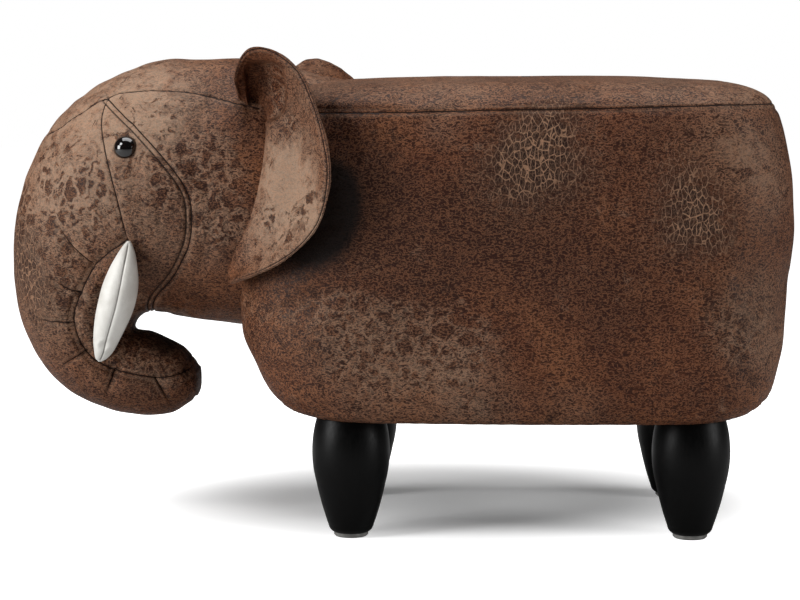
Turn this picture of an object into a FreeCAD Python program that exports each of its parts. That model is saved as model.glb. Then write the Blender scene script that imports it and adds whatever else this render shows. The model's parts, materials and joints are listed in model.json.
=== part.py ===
import FreeCAD, Part
import math
import os

import Sketcher

Vector = FreeCAD.Vector

# Driving sizes in millimetres. The stool faces -X, +Z is up and the floor is at zero.
SIZES = {
    # upholstered body
    "body_middle": 88.8,
    "body_length": 440.0,
    "body_width": 290.0,
    "body_height": 261.0,
    "flank_bow": 5.0,
    "end_bow": 3.0,
    "top_seam_front": 329.5,
    "top_seam_rear": 338.5,
    "leather_thickness": 1.5,
    "lining_gap": 0.3,
    "hem_width": 26.0,
    "top_edge_depth": 46.0,
    "top_edge_rise": 16.5,
    "drill_overrun": 5.0,
    # head and trunk, measured from the corner of the mouth
    "mouth_ahead": 301.7,
    "mouth_height": 157.0,
    "head_reach": 97.5,
    "head_rise": 213.5,
    "head_width": 200.0,
    # ears
    "ear_root_ahead": 208.7,
    "ear_root_height": 270.0,
    "ear_depth": 75.0,
    "ear_spread": 168.0,
    "ear_height": 110.0,
    "ear_base_thickness": 9.0,
    "ear_rim_thickness": 3.4,
    "ear_skin_thickness": 1.2,
    "ear_skin_gap": 0.15,
    "ear_cup": 5.0,
    "ear_seat_gap": 0.3,
    # tusks
    "tusk_root_ahead": 293.2,
    "tusk_root_height": 231.6,
    "tusk_root_out": 93.0,
    "tusk_length": 95.0,
    "tusk_width": 29.2,
    "tusk_skin_thickness": 1.2,
    # eyes
    "eye_ahead": 297.0,
    "eye_above_mouth": 147.0,
    "eye_width": 18.6,
    "eye_dome": 7.0,
    "eye_shank_radius": 2.0,
    "eye_shank_length": 14.0,
    "eye_washer_radius": 7.0,
    "eye_washer_thickness": 1.6,
    "eye_washer_depth": 3.2,
    "eye_fit": 0.1,
    # legs and their fittings
    "leg_height": 90.7,
    "leg_shoulder_radius": 26.5,
    "leg_waist_radius": 27.2,
    "leg_waist_height": 43.0,
    "leg_ankle_radius": 17.8,
    "leg_ankle_height": 9.0,
    "leg_foot_radius": 14.0,
    "leg_belly_arc": 94.0,
    "leg_taper_arc": 250.0,
    "leg_foot_arc": 7.5,
    "front_leg_inset": 32.7,
    "rear_leg_inset": 24.0,
    "leg_side_inset": 24.0,
    "glide_height": 3.5,
    "glide_radius": 13.5,
    "glide_edge": 1.2,
    "bolt_radius": 4.0,
    "bolt_bite": 32.0,
    "bolt_fit": 0.15,
    "bolt_stickout": 6.0,
    "tee_flange_radius": 9.5,
    "tee_flange_thickness": 1.4,
    "tee_barrel_radius": 5.2,
    "tee_barrel_length": 9.0,
    # timber box
    "board_thickness": 12.0,
    "box_front_inset": 64.3,
    "box_rear_inset": 54.0,
    "box_side_inset": 36.0,
    "board_corner": 58.0,
    "seat_board_top": 312.0,
    "corner_block": 10.0,
    # head plate
    "plate_ahead": 227.0,
    "plate_height": 245.0,
    "plate_width": 96.0,
    "plate_rise": 90.0,
    "plate_bolt_radius": 3.0,
    "plate_bolt_spacing": 48.0,
    "plate_bolt_head_radius": 6.0,
    "plate_bolt_head": 3.5,
    "plate_fit": 0.3,
    # underside
    "dust_cover_thickness": 0.8,
    "dust_cover_inset": 8.0,
    "staple_crown": 10.0,
    "staple_wire": 1.2,
    "staple_flat": 0.6,
}

# Places and sizes worked out from the driving sizes.
PLACES = {
    "leg_top": "Sizes.glide_height + Sizes.leg_height",
    "body_floor": "Places.leg_top + Sizes.dust_cover_thickness",
    "crown": "Places.body_floor + Sizes.body_height",
    "lining": "Sizes.leather_thickness + Sizes.lining_gap",
    "base_bottom": "Places.body_floor + Places.lining",
    "base_top": "Places.base_bottom + Sizes.board_thickness",
    "seat_board_bottom": "Sizes.seat_board_top - Sizes.board_thickness",
    "wall_height": "Places.seat_board_bottom - Places.base_top",
    "box_front": "Sizes.body_middle - Sizes.body_length / 2 + Sizes.box_front_inset",
    "box_rear": "Sizes.body_middle + Sizes.body_length / 2 - Sizes.box_rear_inset",
    "box_length": "Places.box_rear - Places.box_front",
    "box_side": "Sizes.body_width / 2 - Sizes.box_side_inset",
    "box_width": "2 * Places.box_side",
    "box_inner_side": "Places.box_side - Sizes.board_thickness",
    "inner_front": "Places.box_front + Sizes.board_thickness",
    "inner_rear": "Places.box_rear - Sizes.board_thickness",
    "corner_front": "Places.box_front + Sizes.board_corner",
    "corner_rear": "Places.box_rear - Sizes.board_corner",
    "corner_side": "Places.box_side - Sizes.board_corner",
    "front_leg": "Places.box_front + Sizes.front_leg_inset",
    "rear_leg": "Places.box_rear - Sizes.rear_leg_inset",
    "leg_out": "Places.box_side - Sizes.leg_side_inset",
    "bolt_bottom": "Places.leg_top - Sizes.bolt_bite",
    "bolt_top": "Places.base_top + Sizes.tee_flange_thickness + Sizes.bolt_stickout",
    "bolt_length": "Places.bolt_top - Places.bolt_bottom",
    "bolt_hole_radius": "Sizes.bolt_radius + Sizes.bolt_fit",
    "tee_hole_radius": "Sizes.tee_barrel_radius + Sizes.bolt_fit",
    "barrel_bottom": "Places.base_top - Sizes.tee_barrel_length",
    "glide_face_radius": "Sizes.glide_radius - Sizes.glide_edge",
    "inner_width": "2 * Places.box_inner_side",
    "staple_bottom": "Places.leg_top - Sizes.staple_flat",
    "washer_bore": "Sizes.eye_shank_radius + Sizes.eye_fit",
    "plate_front": "Sizes.body_middle - Sizes.plate_ahead - Sizes.board_thickness",
    "plate_bottom": "Sizes.plate_height - Sizes.plate_rise / 2",
    "plate_bolt_rear": "Places.inner_front",
    "plate_bolt_length": "Places.plate_bolt_rear - Places.plate_front",
    "plate_bolt_out": "Sizes.plate_bolt_spacing / 2",
    "plate_hole_radius": "Sizes.plate_bolt_radius + Sizes.bolt_fit",
    "mouth_x": "Sizes.body_middle - Sizes.mouth_ahead",
    "eye_x": "Sizes.body_middle - Sizes.eye_ahead",
    "eye_z": "Sizes.mouth_height + Sizes.eye_above_mouth",
    "eye_radius": "Sizes.eye_width / 2",
    "eye_dome_arc": "(Places.eye_radius * Places.eye_radius + Sizes.eye_dome * Sizes.eye_dome)"
                    " / (2 * Sizes.eye_dome)",
    "ear_x": "Sizes.body_middle - Sizes.ear_root_ahead",
    "tusk_x": "Sizes.body_middle - Sizes.tusk_root_ahead",
}

# Plan outlines of the body from hem to top seam: height as a share of body_height, front and
# rear as shares of body_length from the middle, half width as a share of half body_width,
# and the front corner's radius as a share of that half width.
BODY_SHARES = (
    (0.000, -0.364, 0.384, 0.81, 0.52),
    (0.020, -0.395, 0.409, 0.88, 0.52),
    (0.065, -0.427, 0.445, 0.925, 0.54),
    (0.142, -0.455, 0.466, 0.96, 0.57),
    (0.249, -0.480, 0.482, 0.98, 0.61),
    (0.402, -0.482, 0.493, 0.993, 0.65),
    (0.556, -0.464, 0.507, 1.0, 0.66),
    (0.747, -0.434, 0.500, 0.993, 0.66),
    (0.881, -0.416, 0.481, 0.972, 0.66),
    (0.915, -0.408, 0.470, 0.955, 0.66),
)
TOP_EDGE_STEPS = 6
CROWN_SHARE = 0.32
REAR_CORNER_SHARE = 0.45

# Ovals of the head and trunk, from the neck round to the trunk's tip. Each runs from its
# outer to its inner point in the side view, as shares of head_reach and head_rise from the
# corner of the mouth, and stands out by a share of half head_width on each side.
HEAD_SHARES = (
    (1.570, 0.935, 1.150, 0.010, 1.00),
    (1.220, 0.970, 1.010, 0.008, 1.00),
    (0.870, 1.000, 0.870, 0.005, 1.00),
    (0.535, 1.000, 0.580, 0.020, 0.99),
    (0.200, 0.988, 0.350, 0.040, 0.975),
    (-0.150, 0.939, 0.185, 0.050, 0.95),
    (-0.450, 0.855, 0.085, 0.048, 0.90),
    (-0.700, 0.733, 0.035, 0.036, 0.825),
    (-0.890, 0.550, 0.000, 0.020, 0.75),
    (-1.000, 0.333, -0.015, 0.005, 0.67),
    (-0.992, 0.085, -0.024, -0.010, 0.60),
    (-0.840, -0.113, -0.015, -0.023, 0.53),
    (-0.582, -0.250, 0.009, -0.028, 0.47),
    (-0.266, -0.326, 0.060, -0.030, 0.43),
    (0.035, -0.350, 0.134, -0.037, 0.40),
    (0.269, -0.342, 0.243, -0.060, 0.37),
    (0.435, -0.303, 0.368, -0.090, 0.33),
    (0.527, -0.238, 0.502, -0.151, 0.22),
)

# Seams and cuts of the head in the side view, as shares of head_reach and head_rise.
GUSSET_SEAM_SHARES = (
    (-0.71, 0.72), (-0.59, 0.745), (-0.46, 0.785), (-0.29, 0.83), (-0.15, 0.865),
    (0.00, 0.885), (0.20, 0.893), (0.41, 0.89), (0.61, 0.88), (0.80, 0.862), (1.10, 0.83),
)
REAR_SEAM_SHARES = (
    (-0.15, 0.865), (0.15, 0.75), (0.42, 0.62), (0.56, 0.52), (0.58, 0.41), (0.54, 0.32),
    (0.42, 0.22), (0.25, 0.13), (0.18, 0.08), (0.12, 0.00),
)
EYE_SEAM_SHARES = (
    (-0.15, 0.865), (-0.17, 0.78), (-0.13, 0.69), (-0.06, 0.58), (0.01, 0.46), (0.06, 0.35),
)
TRUNK_SEAM_SHARES = (
    (0.06, 0.35), (-0.20, 0.26), (-0.35, 0.15), (-0.43, 0.04), (-0.35, -0.08),
    (-0.19, -0.14), (0.01, -0.17), (0.25, -0.19), (0.45, -0.175), (0.60, -0.17),
)
TRUNK_CUT_SHARES = ((0.0, 0.005), (-1.30, 0.81), (-1.30, -0.50), (1.00, -0.50), (1.00, -0.03))
# Corners outside the head that close each seam line into an outline.
GUSSET_CLOSING_SHARES = ((2.0, 0.80), (2.0, 1.2), (-0.71, 1.2))
JAW_CLOSING_SHARES = ((0.12, -0.02), (2.2, -0.02), (2.2, 1.0), (-0.15, 1.0))
EYE_CLOSING_SHARES = ((-0.015, 0.0), (0.12, 0.0), (0.9, 0.2), (0.9, 1.0))
TRUNK_CLOSING_SHARES = ((0.80, -0.02), (0.0, 0.0))

# Blades of the ear from the rolled front corner over the top to the lower tip: points at
# the sewn base and at the rim, as shares of ear_depth, ear_spread and ear_height.
EAR_SHARES = (
    (0.00, 0.385, 0.620, -0.01, 0.500, 0.675),
    (0.07, 0.405, 0.620, -0.01, 0.655, 0.825),
    (0.16, 0.430, 0.580, 0.15, 0.785, 0.990),
    (0.27, 0.460, 0.535, 0.41, 0.870, 0.992),
    (0.33, 0.485, 0.440, 0.70, 0.930, 0.845),
    (0.31, 0.520, 0.295, 0.88, 0.975, 0.575),
    (0.28, 0.545, 0.150, 0.99, 1.000, 0.290),
    (0.22, 0.560, 0.000, 0.99, 1.000, 0.055),
    (0.15, 0.555, -0.145, 0.88, 0.970, -0.190),
    (0.07, 0.540, -0.300, 0.62, 0.905, -0.390),
    (-0.01, 0.500, -0.455, 0.31, 0.790, -0.525),
    (-0.08, 0.450, -0.600, -0.02, 0.610, -0.630),
)
EAR_PADDING_REACH_SHARE = 0.93

# Level sections of the tusk from root to tip: shares of tusk_length for the centre's place
# ahead, inward and down, then half depth along X and half width along Y as shares of half
# tusk_width.
TUSK_SHARES = (
    (0.000, 0.000, 0.000, 0.24, 0.20),
    (0.020, -0.005, 0.114, 0.50, 0.42),
    (0.040, -0.005, 0.219, 0.74, 0.66),
    (0.064, 0.000, 0.358, 0.95, 0.90),
    (0.093, 0.010, 0.504, 1.00, 1.00),
    (0.128, 0.021, 0.644, 0.93, 0.94),
    (0.169, 0.042, 0.794, 0.74, 0.76),
    (0.196, 0.063, 0.908, 0.53, 0.55),
    (0.228, 0.078, 1.000, 0.17, 0.17),
)

FLANK_STEPS = 4
CORNER_STEPS = 4
OVAL_SIDES = 24
STAPLES_ALONG = 6
STAPLES_ACROSS = 3
STAPLE_ROW_START_SHARE = 0.25
STAPLE_ROW_SHARE = 0.5
SAME_POINT = 1e-6


def add_sheet(doc):
    """Writes every driving size into the spreadsheet under its own alias."""
    sheet = doc.addObject("Spreadsheet::Sheet", "Sizes")
    for row, (alias, value) in enumerate(SIZES.items(), start=1):
        sheet.set(f"A{row}", alias)
        sheet.set(f"B{row}", str(value))
        sheet.setAlias(f"B{row}", alias)
    doc.recompute()
    return sheet


def add_places(doc):
    """Adds the worked-out places as bound properties of one variable set."""
    places = doc.addObject("App::VarSet", "Places")
    for name in PLACES:
        places.addProperty("App::PropertyFloat", name)
    for name, rule in PLACES.items():
        places.setExpression(name, rule)
    doc.recompute()
    return places


def bind(obj, **rules):
    """Binds properties to the sizes; x, y and z stand for the object's own place."""
    for name, rule in rules.items():
        path = f"Placement.Base.{name}" if name in ("x", "y", "z") else name
        obj.setExpression(path, rule)
    return obj


def add_box(doc, name, length, width, height, corner):
    box = doc.addObject("Part::Box", name)
    return bind(box, Length=length, Width=width, Height=height,
                x=corner[0], y=corner[1], z=corner[2])


def add_rod(doc, name, radius, height, foot, axis=Vector(0, 0, 1)):
    """A round bar from its foot along the axis."""
    rod = doc.addObject("Part::Cylinder", name)
    rod.Placement.Rotation = FreeCAD.Rotation(Vector(0, 0, 1), axis)
    return bind(rod, Radius=radius, Height=height, x=foot[0], y=foot[1], z=foot[2])


def add_cut(doc, name, base, tools):
    """Takes the tools out of the base."""
    cut = doc.addObject("Part::Cut", name)
    cut.Base = base
    cut.Tool = tools[0] if len(tools) == 1 else add_fuse(doc, name + "_tools", tools)
    return cut


def add_fuse(doc, name, shapes):
    fuse = doc.addObject("Part::MultiFuse", name)
    fuse.Shapes = shapes
    return fuse


def add_group(doc, name, members):
    """Several separate solids that share one node."""
    group = doc.addObject("Part::Compound", name)
    group.Links = members
    return group


def add_shape(doc, name, shape):
    """A soft piece, whose lofted shape is worked out from the sheet."""
    piece = doc.addObject("Part::Feature", name)
    piece.Shape = shape
    return piece


def number(owner, rule):
    """The value of a sheet alias or worked-out place named like the expression."""
    table, name = rule.split(".")
    return float(getattr(owner.Document.getObject(table), name))


def profile_sketch(body, name, corners, arcs, role="XZ_Plane"):
    """Closed outline in an origin plane; corners are bound, arcs are given by radius."""
    sketch = body.newObject("Sketcher::SketchObject", name)
    plane = next(item for item in body.Origin.OriginFeatures if item.Role == role)
    sketch.AttachmentSupport = [(plane, "")]
    sketch.MapMode = "FlatFace"
    points = [Vector(*[sum_of(sketch, rule) for rule in corner], 0) for corner in corners]
    for index, start in enumerate(points):
        end = points[(index + 1) % len(points)]
        if index in arcs:
            radius = number(sketch, arcs[index])
            sketch.addGeometry(arc_of_radius(start, end, radius), False)
        else:
            sketch.addGeometry(Part.LineSegment(start, end), False)
    bind_outline(sketch, corners, arcs, points)
    return sketch


def sum_of(owner, rule):
    """Adds up a rule of the form 'A.x + B.y - C.z', or zero."""
    total = 0.0
    sign = 1.0
    for word in rule.split():
        if word in ("+", "-"):
            sign = 1.0 if word == "+" else -1.0
        elif word != "0":
            total += sign * number(owner, word)
    return total


def arc_of_radius(start, end, radius):
    """Arc that bulges to the right of the way from start to end."""
    chord = end - start
    half = chord.Length / 2
    rise = radius - math.sqrt(max(radius * radius - half * half, 0.0))
    outward = Vector(chord.y, -chord.x, 0).normalize()
    return Part.Arc(start, (start + end) / 2 + outward * rise, end)


def bind_outline(sketch, corners, arcs, points):
    """Ties each corner and arc radius of the outline to its rule."""
    starts = [start_vertex(sketch, index, point) for index, point in enumerate(points)]
    for index, (across, up) in enumerate(corners):
        following = (index + 1) % len(corners)
        end_mark = 3 - starts[index]
        sketch.addConstraint(Sketcher.Constraint(
            "Coincident", index, end_mark, following, starts[following]))
        for kind, rule, value in (("DistanceX", across, points[index].x),
                                  ("DistanceY", up, points[index].y)):
            fix_distance(sketch, kind, index, starts[index], rule, value)
    for index, rule in arcs.items():
        mark = sketch.addConstraint(
            Sketcher.Constraint("Radius", index, number(sketch, rule)))
        sketch.setExpression(f"Constraints[{mark}]", rule)


def start_vertex(sketch, index, point):
    """Arcs are stored counter-clockwise, so their first point may be the end."""
    first = sketch.Geometry[index].StartPoint
    return 1 if first.distanceToPoint(point) < first.distanceToPoint(
        sketch.Geometry[index].EndPoint) or first.isEqual(point, SAME_POINT) else 2


def fix_distance(sketch, kind, index, vertex, rule, value):
    if rule == "0":
        axis = -2 if kind == "DistanceX" else -1
        sketch.addConstraint(Sketcher.Constraint("PointOnObject", index, vertex, axis))
        return
    mark = sketch.addConstraint(
        Sketcher.Constraint(kind, -1, 1, index, vertex, value))
    sketch.setExpression(f"Constraints[{mark}]", rule)


def add_turned(doc, name, corners, arcs):
    """A body turned about its own Z axis from a bound profile."""
    body = doc.addObject("PartDesign::Body", name)
    sketch = profile_sketch(body, name + "_profile", corners, arcs)
    turned = body.newObject("PartDesign::Revolution", name + "_turned")
    turned.Profile = sketch
    turned.ReferenceAxis = (sketch, ["V_Axis"])
    turned.Angle = 360.0
    body.Tip = turned
    return body


def oval_wire(centre, along, across, half_long, half_wide):
    """Oval of four tangent arcs; each end arc turns by atan(half_long / half_wide)."""
    diagonal = math.hypot(half_long, half_wide)
    spare = half_long + half_wide - diagonal
    end_radius = (diagonal * diagonal - half_long * diagonal) / spare
    cosine = half_wide / diagonal
    sine = half_long / diagonal
    join_long = half_long - end_radius + end_radius * cosine
    join_wide = end_radius * sine

    def at(long, wide):
        return centre + along * long + across * wide

    joins = [at(join_long, -join_wide), at(join_long, join_wide),
             at(-join_long, join_wide), at(-join_long, -join_wide)]
    tops = [at(half_long, 0), at(0, half_wide), at(-half_long, 0), at(0, -half_wide)]
    arcs = [Part.Arc(joins[side], tops[side], joins[(side + 1) % 4]).toShape()
            for side in range(4)]
    return Part.Wire(arcs)


def oval_ring(centre, along, across, half_long, half_wide):
    """The same oval as a many-sided ring, for the hidden inner faces."""
    points = []
    for side in range(OVAL_SIDES):
        turn = 2 * math.pi * side / OVAL_SIDES
        points.append(centre + along * (half_long * math.cos(turn))
                      + across * (half_wide * math.sin(turn)))
    return Part.makePolygon(points + points[:1])


def circles_meet(first, first_radius, second, second_radius, side):
    """The point at the two distances from two centres that lies on the given side."""
    gap = second - first
    reach = gap.Length
    along = (first_radius ** 2 - second_radius ** 2 + reach ** 2) / (2 * reach)
    height = math.sqrt(max(first_radius ** 2 - along ** 2, 0.0))
    ahead = gap / reach
    return first + ahead * along + Vector(-ahead.y, ahead.x, 0) * (height * side)


def bow_radius(span, bow):
    """Radius of the arc with this half span and bow."""
    return (span * span + bow * bow) / (2 * bow)


class Plan:
    """Plan outline of the body at one height: bowed sides joined by tangent corners."""

    def __init__(self, sheet, places, share, inset, drop):
        height, front, rear, width, corner = share
        self.level = places.body_floor + height * sheet.body_height + drop
        self.front = sheet.body_middle + front * sheet.body_length + inset
        self.rear = sheet.body_middle + rear * sheet.body_length - inset
        self.side = width * sheet.body_width / 2 - inset
        self.middle = (self.front + self.rear) / 2
        half_length = (self.rear - self.front) / 2
        self.flank_radius = bow_radius(half_length, sheet.flank_bow)
        self.end_radius = bow_radius(self.side, sheet.end_bow)
        self.corner_radius = {-1: corner * self.side, 1: REAR_CORNER_SHARE * self.side}

    def corner(self, end, flank):
        """Corner arc as (start on the end, middle, finish on the flank), all level."""
        radius = self.corner_radius[end]
        flank_centre = Vector(self.middle, flank * (self.side - self.flank_radius), 0)
        tip = self.rear if end > 0 else self.front
        end_centre = Vector(tip - end * self.end_radius, 0, 0)
        centre = circles_meet(end_centre, self.end_radius - radius,
                              flank_centre, self.flank_radius - radius, end * flank)
        start = centre + (centre - end_centre).normalize() * radius
        finish = centre + (centre - flank_centre).normalize() * radius
        middle = centre + (start + finish - centre * 2).normalize() * radius
        lift = Vector(0, 0, self.level)
        return start + lift, middle + lift, finish + lift

    def wire(self):
        """Eight tangent arcs, anticlockwise from the rear."""
        lift = Vector(0, 0, self.level)
        right_rear = self.corner(1, 1)
        right_front = self.corner(-1, 1)
        left_front = self.corner(-1, -1)
        left_rear = self.corner(1, -1)
        arcs = [
            Part.Arc(left_rear[0], Vector(self.rear, 0, 0) + lift, right_rear[0]),
            Part.Arc(right_rear[0], right_rear[1], right_rear[2]),
            Part.Arc(right_rear[2], Vector(self.middle, self.side, 0) + lift, right_front[2]),
            Part.Arc(right_front[2], right_front[1], right_front[0]),
            Part.Arc(right_front[0], Vector(self.front, 0, 0) + lift, left_front[0]),
            Part.Arc(left_front[0], left_front[1], left_front[2]),
            Part.Arc(left_front[2], Vector(self.middle, -self.side, 0) + lift, left_rear[2]),
            Part.Arc(left_rear[2], left_rear[1], left_rear[0]),
        ]
        return Part.Wire([arc.toShape() for arc in arcs])

    def ring(self):
        """The same outline as a many-sided ring, for the hidden inner faces."""
        points = []
        for edge, steps in zip(self.wire().Edges, [FLANK_STEPS, CORNER_STEPS] * 4):
            points.extend(edge.discretize(steps + 1)[:-1])
        return Part.makePolygon(points + points[:1])


def body_plans(sheet, places, depth, rise):
    """Plan outlines from hem to crown, drawn in by a depth and lifted off the floor."""
    plans = []
    for share in BODY_SHARES:
        lift = -depth * share[0] + rise * (1 - share[0])
        plans.append(Plan(sheet, places, share, depth, lift))
    front, rear, width, corner = BODY_SHARES[-1][1:]
    top = plans[-1].level
    for step in range(1, TOP_EDGE_STEPS + 1):
        turn = math.pi / 2 * step / TOP_EDGE_STEPS
        inward = depth + sheet.top_edge_depth * (1 - math.cos(turn))
        plan = Plan(sheet, places, BODY_SHARES[-1], inward, 0)
        plan.level = top + sheet.top_edge_rise * math.sin(turn)
        plans.append(plan)
    crown = (1.0, front * CROWN_SHARE, rear * CROWN_SHARE, width * CROWN_SHARE, corner)
    plans.append(Plan(sheet, places, crown, depth, -depth))
    return plans


def body_form(sheet, places, depth):
    """Outer form of the padded body, drawn in by a depth."""
    return Part.makeLoft([plan.wire() for plan in body_plans(sheet, places, depth, 0)],
                         True, True)


def body_lining(sheet, places, depth, rise):
    """The body's form drawn in by a depth all round, its floor raised by a rise."""
    return Part.makeLoft([plan.ring() for plan in body_plans(sheet, places, depth, rise)],
                         True, True)


def head_point(sheet, places, across, up):
    return Vector(places.mouth_x + across * sheet.head_reach, 0,
                  sheet.mouth_height + up * sheet.head_rise)


def head_form(sheet, places, inset, make_wire, ruled):
    """Head and trunk as one fan of ovals round the corner of the mouth."""
    wires = []
    sideways = Vector(0, 1, 0)
    for outer_x, outer_z, inner_x, inner_z, width in HEAD_SHARES:
        outer = head_point(sheet, places, outer_x, outer_z)
        inner = head_point(sheet, places, inner_x, inner_z)
        along = (outer - inner).normalize()
        half_long = (outer - inner).Length / 2 - inset
        half_wide = width * sheet.head_width / 2 - inset
        wires.append(make_wire((outer + inner) / 2, along, sideways, half_long, half_wide))
    return Part.makeLoft(wires, True, ruled)


def side_prism(sheet, places, shares, low, high):
    """Prism across the head whose outline in the side view is given in shares."""
    points = [head_point(sheet, places, across, up) + Vector(0, low, 0)
              for across, up in shares]
    face = Part.Face(Part.makePolygon(points + points[:1]))
    return face.extrude(Vector(0, high - low, 0))


def mirrored(shape):
    """The right-hand twin of a left-hand shape."""
    return shape.mirror(Vector(0, 0, 0), Vector(0, 1, 0))


def largest(shape):
    """The main solid of a cut, without slivers."""
    return max(shape.Solids, key=lambda solid: solid.Volume)


def plate_bolt_cutters(sheet, places):
    """Clearance bars along the two head-plate bolts."""
    radius = places.plate_hole_radius
    start = places.plate_front - sheet.drill_overrun
    length = places.plate_bolt_rear - start + sheet.drill_overrun
    return [Part.makeCylinder(radius, length,
                              Vector(start, side * places.plate_bolt_out, sheet.plate_height),
                              Vector(1, 0, 0))
            for side in (-1, 1)]


def leg_bolt_cutters(places):
    """Clearance bars along the four leg bolts."""
    return [Part.makeCylinder(places.bolt_hole_radius, places.bolt_length,
                              Vector(across, out, places.bolt_bottom))
            for across in (places.front_leg, places.rear_leg)
            for out in (-places.leg_out, places.leg_out)]


def slab(low, high):
    """A box between two corners."""
    span = high - low
    return Part.makeBox(span.x, span.y, span.z, low)


def above_top_seam(sheet, places):
    """Everything above the seam that runs round the top edge of the body."""
    reach = sheet.body_length
    slope = (sheet.top_seam_rear - sheet.top_seam_front) / reach
    low_x = sheet.body_middle - reach
    high_x = sheet.body_middle + reach
    low_z = sheet.top_seam_front - slope * reach / 2
    high_z = sheet.top_seam_rear + slope * reach / 2
    roof = places.crown + sheet.drill_overrun
    side = -sheet.body_width
    points = [Vector(low_x, side, low_z), Vector(high_x, side, high_z),
              Vector(high_x, side, roof), Vector(low_x, side, roof)]
    face = Part.Face(Part.makePolygon(points + points[:1]))
    return face.extrude(Vector(0, sheet.body_width * 2, 0))


def make_body_soft(doc, sheet, places, outer):
    """Covers, seat padding and body padding."""
    lining = body_lining(sheet, places, sheet.leather_thickness, sheet.leather_thickness)
    padding = body_lining(sheet, places, places.lining, places.lining)
    hem = Plan(sheet, places, BODY_SHARES[0], sheet.hem_width, 0).wire()
    opening = Part.Face(hem).extrude(Vector(0, 0, places.lining * 2))
    bolts = plate_bolt_cutters(sheet, places)
    shell = outer.cut([lining, opening] + bolts + leg_bolt_cutters(places))
    top_part = above_top_seam(sheet, places)
    reach = sheet.body_length
    left_space = slab(Vector(-reach, -sheet.body_width, -reach), Vector(reach * 2, 0, reach * 2))
    left = largest(shell.cut(top_part).common(left_space))
    timber = slab(Vector(places.box_front, -places.box_side, 0),
                  Vector(places.box_rear, places.box_side, sheet.seat_board_top))
    seat_space = slab(Vector(-reach, -sheet.body_width, sheet.seat_board_top),
                      Vector(reach * 2, sheet.body_width, places.crown * 2))
    wrap = padding.cut([seat_space, timber] + bolts)
    return [
        add_shape(doc, "seat_cover_top", largest(shell.common(top_part))),
        add_shape(doc, "side_cover_left", left),
        add_shape(doc, "side_cover_right", mirrored(left)),
        add_shape(doc, "seat_padding", largest(padding.common(seat_space))),
        add_shape(doc, "body_padding", largest(wrap)),
    ]


def make_head_soft(doc, sheet, places, outer, body_outer):
    """Head and trunk panels with their stuffing."""
    lining = head_form(sheet, places, sheet.leather_thickness, oval_ring, True)
    filling = head_form(sheet, places, places.lining, oval_ring, True)
    eye_cuts = [eye_cutter(sheet, places, eye_frame(places, outer, side))
                for side in (-1, 1)]
    skin = outer.cut([lining, body_outer] + eye_cuts)
    nodes = [add_shape(doc, name, shape)
             for name, shape in cut_panels(sheet, places, skin).items()]
    far = sheet.head_width
    trunk_space = side_prism(sheet, places, TRUNK_CUT_SHARES, -far, far)
    gap = Vector(sheet.plate_fit, sheet.plate_fit, sheet.plate_fit)
    plate_low = Vector(places.plate_front, -sheet.plate_width / 2, places.plate_bottom)
    plate_high = plate_low + Vector(sheet.board_thickness, sheet.plate_width,
                                    sheet.plate_rise)
    plate_space = slab(plate_low - gap, plate_high + gap)
    tools = [trunk_space, body_outer, plate_space]
    head = filling.cut(tools + plate_bolt_cutters(sheet, places) + eye_cuts)
    nodes.append(add_shape(doc, "head_stuffing", largest(head)))
    nodes.append(add_shape(doc, "trunk_stuffing", largest(filling.common(trunk_space))))
    return nodes


def cut_panels(sheet, places, skin):
    """Splits the skin along its seams; the right side is the left one mirrored."""
    far = sheet.head_width
    gusset_space = side_prism(sheet, places, GUSSET_SEAM_SHARES + GUSSET_CLOSING_SHARES,
                              -far, far)
    jaw_space = side_prism(sheet, places, REAR_SEAM_SHARES + JAW_CLOSING_SHARES, -far, 0)
    eye_space = side_prism(sheet, places, EYE_SEAM_SHARES + EYE_CLOSING_SHARES, -far, 0)
    inner_space = side_prism(sheet, places, TRUNK_SEAM_SHARES + TRUNK_CLOSING_SHARES, -far, 0)
    reach = sheet.body_length * 2
    left_space = slab(Vector(-reach, -far, -reach), Vector(reach, 0, reach))
    panels = {"head_gusset": largest(skin.common(gusset_space))}
    rest = skin.cut(gusset_space).common(left_space)
    left = {"jaw_panel": rest.common(jaw_space)}
    rest = rest.cut(jaw_space)
    left["eye_panel"] = rest.common(eye_space)
    rest = rest.cut(eye_space)
    left["trunk_inner_panel"] = rest.common(inner_space)
    left["trunk_side_panel"] = rest.cut(inner_space)
    for name, shape in left.items():
        main = largest(shape)
        panels[name + "_left"] = main
        panels[name + "_right"] = mirrored(main)
    return panels


def skin_point(form, across, up, side):
    """Where a line across the head leaves the form on the given side."""
    far = side * form.BoundBox.YLength
    inside = form.common(Part.makeLine(Vector(across, 0, up), Vector(across, far, up)))
    return max((vertex.Point for vertex in inside.Vertexes), key=lambda point: abs(point.y))


def eye_frame(places, form, side):
    """The eye's seat on the cheek and the way it faces."""
    step = places.eye_radius
    seat = skin_point(form, places.eye_x, places.eye_z, side)
    ahead = skin_point(form, places.eye_x - step, places.eye_z, side)
    behind = skin_point(form, places.eye_x + step, places.eye_z, side)
    above = skin_point(form, places.eye_x, places.eye_z + step, side)
    below = skin_point(form, places.eye_x, places.eye_z - step, side)
    facing = (behind - ahead).cross(above - below)
    if facing.y * side < 0:
        facing = facing * -1
    return seat, facing.normalize()


def eye_cutter(sheet, places, frame):
    """Hole for the shank with a pocket for its washer."""
    seat, facing = frame
    inward = facing * -1
    hole = Part.makeCylinder(sheet.eye_shank_radius + sheet.eye_fit,
                             sheet.eye_shank_length + sheet.drill_overrun * 2,
                             seat + facing * sheet.drill_overrun, inward)
    pocket = Part.makeCylinder(sheet.eye_washer_radius + sheet.plate_fit,
                               sheet.eye_washer_thickness + sheet.plate_fit * 2,
                               seat + inward * (sheet.eye_washer_depth - sheet.plate_fit),
                               inward)
    return hole.fuse(pocket)


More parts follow.
